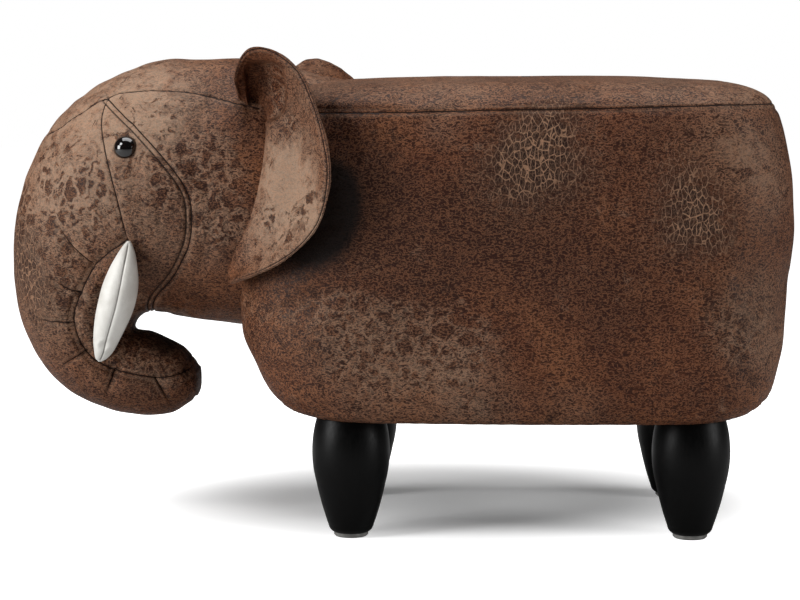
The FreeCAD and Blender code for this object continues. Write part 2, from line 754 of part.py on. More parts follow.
def make_eyes(doc, sheet, places, form):
    """Two domed eyes on shanks, each locked by a washer inside the head."""
    nodes = []
    washers = []
    corners = [("0", "- Sizes.eye_shank_length"),
               ("Sizes.eye_shank_radius", "- Sizes.eye_shank_length"),
               ("Sizes.eye_shank_radius", "0"), ("Places.eye_radius", "0"),
               ("0", "Sizes.eye_dome")]
    for hand, side in (("left", -1), ("right", 1)):
        seat, facing = eye_frame(places, form, side)
        turn = FreeCAD.Rotation(Vector(0, 0, 1), facing)
        eye = add_turned(doc, "eye_" + hand, corners, {3: "Places.eye_dome_arc"})
        eye.Placement = FreeCAD.Placement(seat, turn)
        nodes.append(eye)
        ring = add_cut(doc, "eye_washer_" + hand,
                       add_disc(doc, "washer_blank_" + hand, "Sizes.eye_washer_radius",
                                "Sizes.eye_washer_thickness"),
                       [add_disc(doc, "washer_bore_" + hand, "Places.washer_bore",
                                 "Sizes.eye_washer_thickness")])
        back = facing * -(sheet.eye_washer_depth + sheet.eye_washer_thickness)
        ring.Placement = FreeCAD.Placement(seat + back, turn)
        washers.append(ring)
    return nodes + [add_group(doc, "eye_washers", washers)]


def add_disc(doc, name, radius, height):
    disc = doc.addObject("Part::Cylinder", name)
    return bind(disc, Radius=radius, Height=height)


def ear_blade(sheet, places, share, along, low, high, reach):
    """Flat section of one ear layer from its sewn base towards its rim.

    Low and high are the layer's distances from the middle of the ear, at the base and at
    the rim. The blade is cupped as a parabola, so layers of any reach stay parallel.
    """
    base = ear_point(sheet, places, *share[:3])
    blade = ear_point(sheet, places, *share[3:]) - base
    normal = along.cross(blade).normalize()

    def at(step, layer):
        cup = 4 * sheet.ear_cup * step * (1 - step)
        lift = layer[0] + (layer[1] - layer[0]) * step
        return base + blade * step + normal * (lift - cup)

    halfway = reach / 2
    edges = [Part.Arc(at(0, low), at(halfway, low), at(reach, low)),
             Part.LineSegment(at(reach, low), at(reach, high)),
             Part.Arc(at(reach, high), at(halfway, high), at(0, high)),
             Part.LineSegment(at(0, high), at(0, low))]
    return Part.Wire([edge.toShape() for edge in edges])


def ear_point(sheet, places, ahead, out, up):
    return Vector(places.ear_x + ahead * sheet.ear_depth, -out * sheet.ear_spread,
                  sheet.ear_root_height + up * sheet.ear_height)


def ear_layer(sheet, places, low, high, reach):
    """One layer of the left ear, as a ruled loft of its blades."""
    wires = []
    last = len(EAR_SHARES) - 1
    for index, share in enumerate(EAR_SHARES):
        before = EAR_SHARES[max(index - 1, 0)]
        after = EAR_SHARES[min(index + 1, last)]
        along = (ear_middle(sheet, places, after) - ear_middle(sheet, places, before))
        wires.append(ear_blade(sheet, places, share, along, low, high, reach))
    return Part.makeLoft(wires, True, True)


def ear_middle(sheet, places, share):
    return (ear_point(sheet, places, *share[:3]) + ear_point(sheet, places, *share[3:])) / 2


def make_ears(doc, sheet, places, seats):
    """Face, padding and back of each ear, cut to sit just off the head and body."""
    front = (sheet.ear_base_thickness / 2, sheet.ear_rim_thickness / 2)
    rear = tuple(-offset for offset in front)
    skin = sheet.ear_skin_thickness
    inner = skin + sheet.ear_skin_gap

    def moved(offsets, distance):
        return tuple(offset + distance for offset in offsets)

    layers = {
        "ear_face": ear_layer(sheet, places, moved(front, -skin), front, 1.0),
        "ear_padding": ear_layer(sheet, places, moved(rear, inner), moved(front, -inner),
                                 EAR_PADDING_REACH_SHARE),
        "ear_back": ear_layer(sheet, places, rear, moved(rear, skin), 1.0),
    }
    nodes = []
    for name, layer in layers.items():
        left = largest(layer.cut(seats))
        nodes.append(add_shape(doc, name + "_left", left))
        nodes.append(add_shape(doc, name + "_right", mirrored(left)))
    return nodes


def tusk_form(sheet, places, inset, make_wire, ruled):
    """The left tusk as level ovals from its root to its tip."""
    wires = []
    for ahead, inward, down, depth, width in TUSK_SHARES:
        centre = Vector(places.tusk_x - ahead * sheet.tusk_length,
                        inward * sheet.tusk_length - sheet.tusk_root_out,
                        sheet.tusk_root_height - down * sheet.tusk_length)
        half = sheet.tusk_width / 2
        wires.append(make_wire(centre, Vector(1, 0, 0), Vector(0, 1, 0),
                               depth * half - inset, width * half - inset))
    return Part.makeLoft(wires, True, ruled)


def make_tusks(doc, sheet, places, seat):
    """Cover and filling of each tusk."""
    outer = tusk_form(sheet, places, 0, oval_wire, True).cut(seat)
    lining = tusk_form(sheet, places, sheet.tusk_skin_thickness, oval_ring, True)
    ends = outer.BoundBox
    skin = sheet.tusk_skin_thickness
    reach = Vector(sheet.tusk_length, sheet.tusk_length, 0)
    low = Vector(ends.XMin, ends.YMin, ends.ZMin + skin) - reach
    high = Vector(ends.XMax, ends.YMax, ends.ZMax - skin) + reach
    hollow = lining.common(slab(low, high))
    cover = largest(outer.cut(hollow))
    filling = tusk_form(sheet, places, skin + sheet.lining_gap, oval_ring, True)
    gap = Vector(0, 0, sheet.lining_gap)
    filling = largest(filling.common(slab(low + gap, high - gap)).cut(seat))
    nodes = []
    for name, left in (("tusk_cover", cover), ("tusk_filling", filling)):
        nodes.append(add_shape(doc, name + "_left", left))
        nodes.append(add_shape(doc, name + "_right", mirrored(left)))
    return nodes


def make_legs(doc):
    """Four turned legs, each bored for its bolt."""
    corners = [("0", "Sizes.glide_height"), ("Sizes.leg_foot_radius", "Sizes.glide_height"),
               ("Sizes.leg_ankle_radius", "Sizes.leg_ankle_height"),
               ("Sizes.leg_waist_radius", "Sizes.leg_waist_height"),
               ("Sizes.leg_shoulder_radius", "Places.leg_top"),
               ("Places.bolt_hole_radius", "Places.leg_top"),
               ("Places.bolt_hole_radius", "Places.bolt_bottom"),
               ("0", "Places.bolt_bottom")]
    arcs = {1: "Sizes.leg_foot_arc", 2: "Sizes.leg_taper_arc", 3: "Sizes.leg_belly_arc"}
    nodes = []
    for name, across, out in leg_places():
        leg = add_turned(doc, "leg_" + name, corners, arcs)
        nodes.append(bind(leg, x=across, y=out))
    return nodes


def leg_places():
    """Name and place of each leg; left is the -Y side."""
    return [(f"{end}_{hand}", f"Places.{end}_leg", sign + "Places.leg_out")
            for end in ("front", "rear")
            for hand, sign in (("left", "-"), ("right", ""))]


def make_leg_fittings(doc):
    """A glide under each leg, and the bolt and tee nut that hold it to the base board."""
    glides, bolts, nuts = [], [], []
    corners = [("0", "0"), ("Places.glide_face_radius", "0"),
               ("Sizes.glide_radius", "Sizes.glide_edge"),
               ("Sizes.glide_radius", "Sizes.glide_height"), ("0", "Sizes.glide_height")]
    for name, across, out in leg_places():
        glide = add_turned(doc, "glide_" + name, corners, {})
        glides.append(bind(glide, x=across, y=out))
        bolts.append(add_rod(doc, "bolt_" + name, "Sizes.bolt_radius", "Places.bolt_length",
                             (across, out, "Places.bolt_bottom")))
        nuts.append(add_tee_nut(doc, name, across, out))
    return [add_group(doc, "leg_glides", glides), add_group(doc, "leg_bolts", bolts),
            add_group(doc, "leg_tee_nuts", nuts)]


def add_tee_nut(doc, name, across, out):
    """Flange on the base board with a barrel let into it, bored for the bolt."""
    flange = add_rod(doc, "tee_flange_" + name, "Sizes.tee_flange_radius",
                     "Sizes.tee_flange_thickness", (across, out, "Places.base_top"))
    barrel = add_rod(doc, "tee_barrel_" + name, "Sizes.tee_barrel_radius",
                     "Sizes.tee_barrel_length", (across, out, "Places.barrel_bottom"))
    bore = add_rod(doc, "tee_bore_" + name, "Places.bolt_hole_radius",
                   "Places.bolt_length", (across, out, "Places.bolt_bottom"))
    blank = add_fuse(doc, "tee_blank_" + name, [flange, barrel])
    return add_cut(doc, "tee_nut_" + name, blank, [bore])


def make_timber(doc):
    """The timber box: boards, glue blocks and the head plate."""
    board = "Sizes.board_thickness"
    base = add_base_board(doc)
    seat = add_box(doc, "seat_board", "Places.box_length", "Places.box_width", board,
                   ("Places.box_front", "-Places.box_side", "Places.seat_board_bottom"))
    nodes = [base, seat]
    for hand, side in (("left", "-Places.box_side"), ("right", "Places.box_inner_side")):
        nodes.append(add_box(doc, "side_board_" + hand, "Places.box_length", board,
                             "Places.wall_height",
                             ("Places.box_front", side, "Places.base_top")))
    nodes.append(add_box(doc, "rear_board", board, "Places.inner_width",
                         "Places.wall_height",
                         ("Places.inner_rear", "-Places.box_inner_side", "Places.base_top")))
    blank = add_box(doc, "front_board_blank", board, "Places.inner_width",
                    "Places.wall_height",
                    ("Places.box_front", "-Places.box_inner_side", "Places.base_top"))
    nodes.append(add_cut(doc, "front_board", blank, plate_holes(doc, "front_board")))
    plate = add_box(doc, "head_plate_blank", board, "Sizes.plate_width",
                    "Sizes.plate_rise",
                    ("Places.plate_front", "-Sizes.plate_width / 2", "Places.plate_bottom"))
    nodes.append(add_cut(doc, "head_plate", plate, plate_holes(doc, "head_plate")))
    nodes.append(add_corner_blocks(doc))
    return nodes


def plate_holes(doc, owner):
    return [add_rod(doc, f"{owner}_hole_{hand}", "Places.plate_hole_radius",
                    "Places.plate_bolt_length",
                    ("Places.plate_front", sign + "Places.plate_bolt_out",
                     "Sizes.plate_height"), Vector(1, 0, 0))
            for hand, sign in (("left", "-"), ("right", ""))]


def add_base_board(doc):
    """Round-cornered board with a hole for each tee nut."""
    body = doc.addObject("PartDesign::Body", "base_blank")
    front, rear = "Places.box_front", "Places.box_rear"
    near, far = "Places.corner_front", "Places.corner_rear"
    side, inner = "Places.box_side", "Places.corner_side"
    corners = [(near, "- " + side), (far, "- " + side), (rear, "- " + inner), (rear, inner),
               (far, side), (near, side), (front, inner), (front, "- " + inner)]
    radius = "Sizes.board_corner"
    sketch = profile_sketch(body, "base_outline", corners,
                            {1: radius, 3: radius, 5: radius, 7: radius}, "XY_Plane")
    pad = body.newObject("PartDesign::Pad", "base_pad")
    pad.Profile = sketch
    pad.setExpression("Length", "Sizes.board_thickness")
    body.Tip = pad
    bind(body, z="Places.base_bottom")
    holes = [add_rod(doc, "base_hole_" + name, "Places.tee_hole_radius", "Places.bolt_length",
                     (across, out, "Places.bolt_bottom"))
             for name, across, out in leg_places()]
    return add_cut(doc, "base_board", body, holes)


def add_corner_blocks(doc):
    """Three-sided glue block in each inner corner of the box."""
    blocks = []
    places = [("Places.inner_front", "-Places.box_inner_side", 0),
              ("Places.inner_rear", "-Places.box_inner_side", 90),
              ("Places.inner_rear", "Places.box_inner_side", 180),
              ("Places.inner_front", "Places.box_inner_side", 270)]
    for index, (across, out, turn) in enumerate(places, start=1):
        body = doc.addObject("PartDesign::Body", f"corner_block_{index}")
        sketch = profile_sketch(body, f"corner_block_outline_{index}",
                                [("0", "0"), ("Sizes.corner_block", "0"),
                                 ("0", "Sizes.corner_block")], {}, "XY_Plane")
        pad = body.newObject("PartDesign::Pad", f"corner_block_pad_{index}")
        pad.Profile = sketch
        pad.setExpression("Length", "Places.wall_height")
        body.Tip = pad
        body.Placement.Rotation = FreeCAD.Rotation(Vector(0, 0, 1), turn)
        blocks.append(bind(body, x=across, y=out, z="Places.base_top"))
    return add_group(doc, "corner_blocks", blocks)


def make_head_bolts(doc):
    """Two bolts from inside the front board out to the head plate."""
    bolts = []
    ahead = Vector(1, 0, 0)
    for hand, sign in (("left", "-"), ("right", "")):
        out = sign + "Places.plate_bolt_out"
        shank = add_rod(doc, "head_bolt_shank_" + hand, "Sizes.plate_bolt_radius",
                        "Places.plate_bolt_length",
                        ("Places.plate_front", out, "Sizes.plate_height"), ahead)
        head = add_rod(doc, "head_bolt_head_" + hand, "Sizes.plate_bolt_head_radius",
                       "Sizes.plate_bolt_head",
                       ("Places.plate_bolt_rear", out, "Sizes.plate_height"), ahead)
        bolts.append(add_fuse(doc, "head_bolt_" + hand, [shank, head]))
    return [add_group(doc, "head_plate_bolts", bolts)]


def make_underside(doc, sheet, places):
    """Dust cover under the base, with the crowns of its staples."""
    outline = Plan(sheet, places, BODY_SHARES[0], sheet.dust_cover_inset,
                   -sheet.dust_cover_thickness).wire()
    cover = Part.Face(outline).extrude(Vector(0, 0, sheet.dust_cover_thickness))
    cover = largest(cover.cut(leg_bolt_cutters(places)))
    return [add_shape(doc, "dust_cover", cover), add_staples(doc)]


def add_staples(doc):
    """Crowns in two rows between the legs and one row across each end."""
    staples = []
    crown, wire, flat = "Sizes.staple_crown", "Sizes.staple_wire", "Sizes.staple_flat"
    for side, sign in (("left", "-"), ("right", "")):
        for index in range(STAPLES_ALONG):
            step = STAPLE_ROW_SHARE / (STAPLES_ALONG - 1)
            share = STAPLE_ROW_START_SHARE + step * index
            across = f"Places.front_leg + (Places.rear_leg - Places.front_leg) * {share}"
            staples.append(add_box(doc, f"staple_{side}_{index + 1}", crown, wire, flat,
                                   (across, f"{sign}(Places.box_side - Sizes.staple_crown)",
                                    "Places.staple_bottom")))
    for end, across in (("front", "Places.box_front + Sizes.staple_crown"),
                        ("rear", "Places.box_rear - 2 * Sizes.staple_crown")):
        for index in range(STAPLES_ACROSS):
            share = index / (STAPLES_ACROSS - 1)
            out = f"Places.leg_out * ({share} - 1 / 2) - Sizes.staple_crown / 2"
            staples.append(add_box(doc, f"staple_{end}_{index + 1}", wire, crown, flat,
                                   (across, out, "Places.staple_bottom")))
    return add_group(doc, "dust_cover_staples", staples)


def check(doc, nodes):
    """Stops if any object failed or any node's shape is missing or broken."""
    for item in doc.Objects:
        if "Invalid" in item.State or "Error" in item.State:
            raise RuntimeError(f"{item.Name} failed: {item.State}")
    for node in nodes:
        if node.Shape.isNull() or not node.Shape.isValid():
            raise RuntimeError(f"{node.Label} has no valid shape")


def build(doc):
    """Builds every sub-part and returns the nodes in order."""
    sheet = add_sheet(doc)
    places = add_places(doc)
    body_outer = body_form(sheet, places, 0)
    head_outer = head_form(sheet, places, 0, oval_wire, False)
    gap = sheet.ear_seat_gap
    head_seat = head_form(sheet, places, -gap, oval_wire, False)
    nodes = make_timber(doc) + make_legs(doc) + make_leg_fittings(doc)
    nodes += make_head_bolts(doc) + make_underside(doc, sheet, places)
    nodes += make_body_soft(doc, sheet, places, body_outer)
    nodes += make_head_soft(doc, sheet, places, head_outer, body_outer)
    nodes += make_eyes(doc, sheet, places, head_outer)
    nodes += make_ears(doc, sheet, places, [head_seat, body_form(sheet, places, -gap)])
    nodes += make_tusks(doc, sheet, places, head_seat)
    return nodes


def main():
    os.makedirs("parts", exist_ok=True)
    doc = FreeCAD.newDocument("ElephantStool")
    nodes = build(doc)
    doc.recompute()
    check(doc, nodes)
    for node in nodes:
        node.Shape.exportStep("parts/" + node.Label + ".step")
    print(len(nodes), "nodes written")


main()
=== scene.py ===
"""Looks of the elephant stool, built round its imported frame.

Every piece is worked out in metres in the frame's own axes: the elephant faces -X, its left
side is -Y and the floor is at zero. Covers are surfaces over two parameters, worked out as
whole arrays, and each sewn line is kept on the mesh as a distance that the leather reads.
"""
import json
import logging
import math
from dataclasses import dataclass, field
from enum import Enum
from typing import Any, Iterable

import bpy
import numpy as np
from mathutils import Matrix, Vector
from numpy.typing import NDArray


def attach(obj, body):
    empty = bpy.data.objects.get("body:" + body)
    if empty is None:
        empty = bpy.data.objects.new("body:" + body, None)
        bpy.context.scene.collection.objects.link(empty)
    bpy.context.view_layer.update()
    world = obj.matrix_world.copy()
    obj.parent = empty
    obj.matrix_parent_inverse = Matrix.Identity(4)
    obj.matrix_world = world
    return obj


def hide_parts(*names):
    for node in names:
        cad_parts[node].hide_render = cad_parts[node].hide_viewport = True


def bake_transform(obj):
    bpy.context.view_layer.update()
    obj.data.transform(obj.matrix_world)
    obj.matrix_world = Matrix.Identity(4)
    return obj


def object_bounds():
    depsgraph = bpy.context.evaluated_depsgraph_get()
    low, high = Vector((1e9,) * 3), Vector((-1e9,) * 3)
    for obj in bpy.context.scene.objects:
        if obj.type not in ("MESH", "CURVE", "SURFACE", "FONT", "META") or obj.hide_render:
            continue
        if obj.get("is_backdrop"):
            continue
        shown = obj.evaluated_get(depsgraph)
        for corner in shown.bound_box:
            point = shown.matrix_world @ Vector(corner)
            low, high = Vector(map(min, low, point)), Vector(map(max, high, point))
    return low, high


Grid = NDArray[np.float64]
Rows = tuple[tuple[float, ...], ...]
Path = tuple[Grid, Grid]
Piece = bpy.types.Object
Socket = bpy.types.NodeSocket

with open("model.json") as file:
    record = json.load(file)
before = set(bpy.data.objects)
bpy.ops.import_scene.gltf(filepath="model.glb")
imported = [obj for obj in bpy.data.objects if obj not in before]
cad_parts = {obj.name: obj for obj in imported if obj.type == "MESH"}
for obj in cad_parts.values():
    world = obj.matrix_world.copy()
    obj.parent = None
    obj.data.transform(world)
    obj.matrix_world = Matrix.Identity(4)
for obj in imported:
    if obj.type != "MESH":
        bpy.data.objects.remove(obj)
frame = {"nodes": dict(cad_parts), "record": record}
CAD_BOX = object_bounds()
LOG = logging.getLogger("elephant_stool")

MM = 0.001

# Places that the covers share with the solids under them, in metres.
BODY_MIDDLE = 88.8 * MM
BODY_LENGTH = 440.0 * MM
BODY_WIDTH = 290.0 * MM
BODY_HEIGHT = 261.0 * MM
BODY_FLOOR = 95.0 * MM
MOUTH = (-212.9 * MM, 157.0 * MM)
HEAD_REACH = 97.5 * MM
HEAD_RISE = 213.5 * MM
HEAD_WIDTH = 200.0 * MM


class Hand(Enum):
    """The elephant's left side is -Y, its right side +Y."""

    LEFT = -1
    RIGHT = 1

    @property
    def label(self) -> str:
        """The word that ends the names of this side's pieces."""
        return self.name.lower()


class Slot(Enum):
    """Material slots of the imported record."""

    TIMBER = "timber"
    LEG = "leg_lacquer"
    GLIDE = "glide_plastic"
    STEEL = "steel"
    DUST_CLOTH = "dust_cloth"
    BROWN = "leather_brown"
    PADDING = "padding"
    WHITE = "leather_white"
    EYE = "eye_gloss"
    WASHER = "washer_plastic"


def between_rows(table: Grid, places: Grid) -> Grid:
    """Reads a table between its rows by a cubic that passes through every row.

    The slope at each row is half the step from the row before to the row after.

    Args:
        table: One row of numbers per knot.
        places: Row places to read at, from zero to the last row.

    Returns:
        One row of numbers per place.
    """
    last = len(table) - 1
    low = np.clip(np.floor(places).astype(int), 0, last - 1)
    step = (places - low)[:, None]
    ends = (2 * table[:1] - table[1:2], table, 2 * table[-1:] - table[-2:-1])
    padded = np.vstack(ends)
    before, start, end, after = (padded[low + shift] for shift in range(4))
    cubic = 2 * before - 5 * start + 4 * end - after
    last_term = 3 * (start - end) + after - before
    return start + 0.5 * step * (end - before + step * (cubic + step * last_term))


def even_places(table: Grid, columns: list[int], count: int) -> Grid:
    """Row places that are evenly spaced along the curve of the chosen columns.

    Args:
        table: One row of numbers per knot.
        columns: Columns that hold the curve's coordinates.
        count: How many places to give.

    Returns:
        The places, from zero to the last row.
    """
    fine = np.linspace(0, len(table) - 1, 40 * len(table))
    curve = between_rows(table, fine)[:, columns]
    run = np.concatenate([[0.0], np.cumsum(np.linalg.norm(np.diff(curve, axis=0), axis=1))])
    return np.interp(np.linspace(0, run[-1], count), run, fine)


def smooth_step(value: Grid, low: float, high: float) -> Grid:
    """Rises from 0 at low to 1 at high along a cubic that is level at both ends."""
    share = np.clip((value - low) / (high - low), 0, 1)
    return share * share * (3 - 2 * share)


def bell(value: Grid, width: float) -> Grid:
    """The bell curve exp(-(value / width) squared)."""
    return np.exp(-(value / width) ** 2)


def ripple(points: Grid, wavelength: float, seed: int, waves: int = 14) -> Grid:
    """Smooth unevenness: plane waves in seeded random directions, added up.

    Each wave is sin(direction . point * 2 pi / length + phase), its length within a
    quarter of the wavelength asked for. The sum is divided by the root of their number.

    Args:
        points: Points as rows of x, y, z.
        wavelength: Usual distance from crest to crest.
        seed: Start of the random draws.
        waves: How many waves are added.

    Returns:
        One value per point, mostly between -1 and 1.
    """
    draws = np.random.default_rng(seed)
    directions = draws.normal(size=(waves, 3))
    directions /= np.linalg.norm(directions, axis=1, keepdims=True)
    lengths = wavelength * draws.uniform(0.75, 1.25, waves)
    phases = draws.uniform(0, 2 * math.pi, waves)
    turns = points @ (directions / lengths[:, None]).T * 2 * math.pi + phases
    return np.sin(turns).sum(axis=1) / math.sqrt(waves)


@dataclass
class Surface:
    """A surface over a grid of rows and columns, closed round its columns.

    Attributes:
        points: Array of rows, columns and x, y, z. The first and last rows are closed by
            a fan to their own centre.
        channels: Named vectors per grid point, as (signed distance, run, presence) of a
            sewn line or as three masks.
    """

    points: Grid
    channels: dict[str, Grid] = field(default_factory=dict)

    def normals(self) -> Grid:
        """Unit normals from the cross product of the two grid directions.

        Returns:
            Array of the grid's shape. They point away from each row's centre.
        """
        along = np.gradient(self.points, axis=0)
        wrapped = np.concatenate([self.points[:, -1:], self.points, self.points[:, :1]], axis=1)
        across = (wrapped[:, 2:] - wrapped[:, :-2]) / 2
        normal = np.cross(across, along)
        normal /= np.linalg.norm(normal, axis=2, keepdims=True) + 1e-12
        outward = self.points - self.points.mean(axis=1, keepdims=True)
        facing = np.sign((normal * outward).sum(axis=2).mean())
        return normal * facing

    def raised(self, height: Grid) -> "Surface":
        """The surface moved along its normals by a height per grid point."""
        return Surface(self.points + self.normals() * height[:, :, None], dict(self.channels))

    def build(self, name: str) -> Piece:
        """Makes the mesh, shaded smooth, with a fan at each end and its channels.

        Args:
            name: Name of the piece.

        Returns:
            The new object, linked to the scene.
        """
        rows, columns = self.points.shape[:2]
        ends = [self.points[0].mean(axis=0), self.points[-1].mean(axis=0)]
        vertices = np.vstack([self.points.reshape(-1, 3), ends])
        row, column = np.meshgrid(np.arange(rows - 1), np.arange(columns), indexing="ij")
        after = (column + 1) % columns
        quads = np.stack([row * columns + column, row * columns + after,
                          (row + 1) * columns + after, (row + 1) * columns + column], axis=-1)
        ring = np.arange(columns)
        following = (ring + 1) % columns
        first, last = rows * columns, rows * columns + 1
        base = (rows - 1) * columns
        start_fan = np.stack([np.full(columns, first), following, ring], axis=-1)
        end_fan = np.stack([np.full(columns, last), base + ring, base + following], axis=-1)
        quads = quads.reshape(-1, 4)
        if not self._faces_outward():
            quads = quads[:, ::-1]
            start_fan, end_fan = start_fan[:, ::-1], end_fan[:, ::-1]
        piece = mesh_piece(name, vertices, quads, np.vstack([start_fan, end_fan]), True)
        for channel, values in self.channels.items():
            flat = np.vstack([values.reshape(-1, 3), np.zeros((2, 3))])
            write_channel(piece, channel, flat)
        return piece

    def _faces_outward(self) -> bool:
        """Whether quads listed along a row and then down it face outward."""
        turned = np.cross(np.roll(self.points, -1, axis=1) - self.points,
                          np.gradient(self.points, axis=0))
        return float((turned * self.normals()).sum()) > 0


def mesh_piece(name: str, vertices: Grid, quads: NDArray[np.int64],
               triangles: NDArray[np.int64], smooth: bool) -> Piece:
    """Puts arrays of vertices and faces into a new mesh object.

    Args:
        name: Name of the piece.
        vertices: Rows of x, y, z.
        quads: Rows of four vertex numbers.
        triangles: Rows of three vertex numbers.
        smooth: Whether it is shaded smooth.

    Returns:
        The new object, linked to the scene.
    """
    mesh = bpy.data.meshes.new(name)
    corners = np.concatenate([quads.ravel(), triangles.ravel()]).astype(np.int32)
    counts = np.concatenate([np.full(len(quads), 4), np.full(len(triangles), 3)])
    starts = np.concatenate([[0], np.cumsum(counts)[:-1]]).astype(np.int32)
    mesh.vertices.add(len(vertices))
    mesh.vertices.foreach_set("co", vertices.astype(np.float32).ravel())
    mesh.loops.add(len(corners))
    mesh.loops.foreach_set("vertex_index", corners)
    mesh.polygons.add(len(counts))
    mesh.polygons.foreach_set("loop_start", starts)
    mesh.update(calc_edges=True)
    mesh.validate()
    mesh.polygons.foreach_set("use_smooth", np.full(len(counts), smooth))
    piece = bpy.data.objects.new(name, mesh)
    bpy.context.scene.collection.objects.link(piece)
    return piece


def write_channel(piece: Piece, name: str, values: Grid) -> None:
    """Keeps a vector per vertex on the mesh under a name that materials read."""
    attribute = piece.data.attributes.new(name, "FLOAT_VECTOR", "POINT")
    attribute.data.foreach_set("vector", values.astype(np.float32).ravel())


def uneven(points: Grid, layers: Rows) -> Grid:
    """The sum of some ripples, each given by its height, wavelength and seed."""
    return sum(height * ripple(points, length, seed) for height, length, seed in layers)


def run_round(points: Grid) -> Grid:
    """Distance run along each row of a grid, from its last point on."""
    steps = np.linalg.norm(np.diff(points, axis=1, prepend=points[:, -1:]), axis=2)
    return np.cumsum(steps, axis=1)


@dataclass(frozen=True)
class SewnLine:
    """A sewn line drawn on the side view, as smooth run through its points.

    Attributes:
        points: Points (x, z) in metres.
        presence_reach: Distance past which the line no longer counts.
    """

    points: Grid
    presence_reach: float = 7 * MM
    end_fade: float = 2 * MM

    def smooth_points(self, steps: int = 8) -> Grid:
        """The line's points with some steps from each to the next, along a cubic."""
        places = np.linspace(0, len(self.points) - 1, steps * (len(self.points) - 1) + 1)
        return between_rows(self.points, places)

    def measure(self, spots: Grid, normals: Grid) -> Grid:
        """How far each spot of a surface is from the line, along the surface.

        The distance in the side view is divided by how steeply the surface turns away
        from it: the root of one minus the squared part of the normal along the way to
        the line. The sign tells the two sides apart.

        Args:
            spots: Points of the surface as rows of x, y, z.
            normals: Their unit normals.

        Returns:
            Rows of signed distance, run along the line and presence from 0 to 1.
        """
        line = self.smooth_points()
        flat = spots[:, [0, 2]]
        nearest = np.full(len(flat), np.inf)
        signed = np.zeros(len(flat))
        along = np.zeros(len(flat))
        beyond = np.zeros(len(flat))
        offset = np.zeros((len(flat), 2))
        run = 0.0
        for index, (start, end) in enumerate(zip(line[:-1], line[1:])):
            step = end - start
            length = float(np.hypot(*step))
            ahead = step / length
            relative = flat - start
            place = relative @ ahead
            held = np.clip(place, 0, length)
            gap = relative - held[:, None] * ahead
            distance = np.hypot(gap[:, 0], gap[:, 1])
            side = np.sign(ahead[0] * relative[:, 1] - ahead[1] * relative[:, 0])
            closer = distance < nearest
            nearest = np.where(closer, distance, nearest)
            signed = np.where(closer, distance * side, signed)
            along = np.where(closer, run + held, along)
            past = np.zeros(len(flat))
            if index == 0:
                past = np.maximum(-place, 0)
            if index == len(line) - 2:
                past = np.maximum(past, place - length)
            beyond = np.where(closer, past, beyond)
            offset = np.where(closer[:, None], gap, offset)
            run += length
        heading = offset / (nearest[:, None] + 1e-9)
        part = heading[:, 0] * normals[:, 0] + heading[:, 1] * normals[:, 2]
        slope = np.sqrt(np.clip(1 - part * part, 0.04, 1))
        true_distance = np.clip(np.abs(signed) / slope, 0, 1)
        presence = 1 - smooth_step(true_distance, 0.6 * self.presence_reach, self.presence_reach)
        presence *= 1 - smooth_step(beyond, 0, self.end_fade)
        return np.stack([np.sign(signed) * true_distance, along, presence], axis=1)


@dataclass(frozen=True)
class SeamRelief:
    """How the cover stands beside a sewn line.

    Attributes:
        cut: Depth of the narrow cut at the line.
        valley: Depth of the soft valley round it.
        pucker: Height of the small puckers across the line.
        pitch: Distance from pucker to pucker.
        step: How much the positive side stands above the other.
    """

    cut: float = 0.9 * MM
    cut_width: float = 0.8 * MM
    valley: float = 0.8 * MM
    valley_width: float = 5.0 * MM
    pucker: float = 0.15 * MM
    pitch: float = 7.0 * MM
    step: float = 0.2 * MM

    def height(self, seam: Grid) -> Grid:
        """Height of the cover from rows of distance, run and presence.

        Minus a narrow bell for the cut and a wide one for the valley, plus a cosine
        along the run for the puckers, plus a step across the line.

        Args:
            seam: Rows of signed distance, run and presence.

        Returns:
            One height per row.
        """
        distance, run, presence = seam[:, 0], seam[:, 1], seam[:, 2]
        wander = 1.6 * np.sin(run * 2 * math.pi / (4.7 * self.pitch))
        waves = np.cos(run * 2 * math.pi / self.pitch + wander)
        side = bell(distance, 0.8 * self.valley_width) * (1 - bell(distance, self.cut_width))
        height = -self.cut * bell(distance, self.cut_width)
        height -= self.valley * bell(distance, self.valley_width)
        height += self.pucker * waves * side
        height += self.step * np.tanh(distance / MM) * bell(distance, 4 * MM)
        return height * presence


def merge_channels(first: Grid, second: Grid) -> Grid:
    """Joins two sewn lines in one channel, keeping the nearer one that is present."""
    away = [np.where(seam[:, 2] > 0, np.abs(seam[:, 0]), 1.0) for seam in (first, second)]
    return np.where((away[1] < away[0])[:, None], second, first)


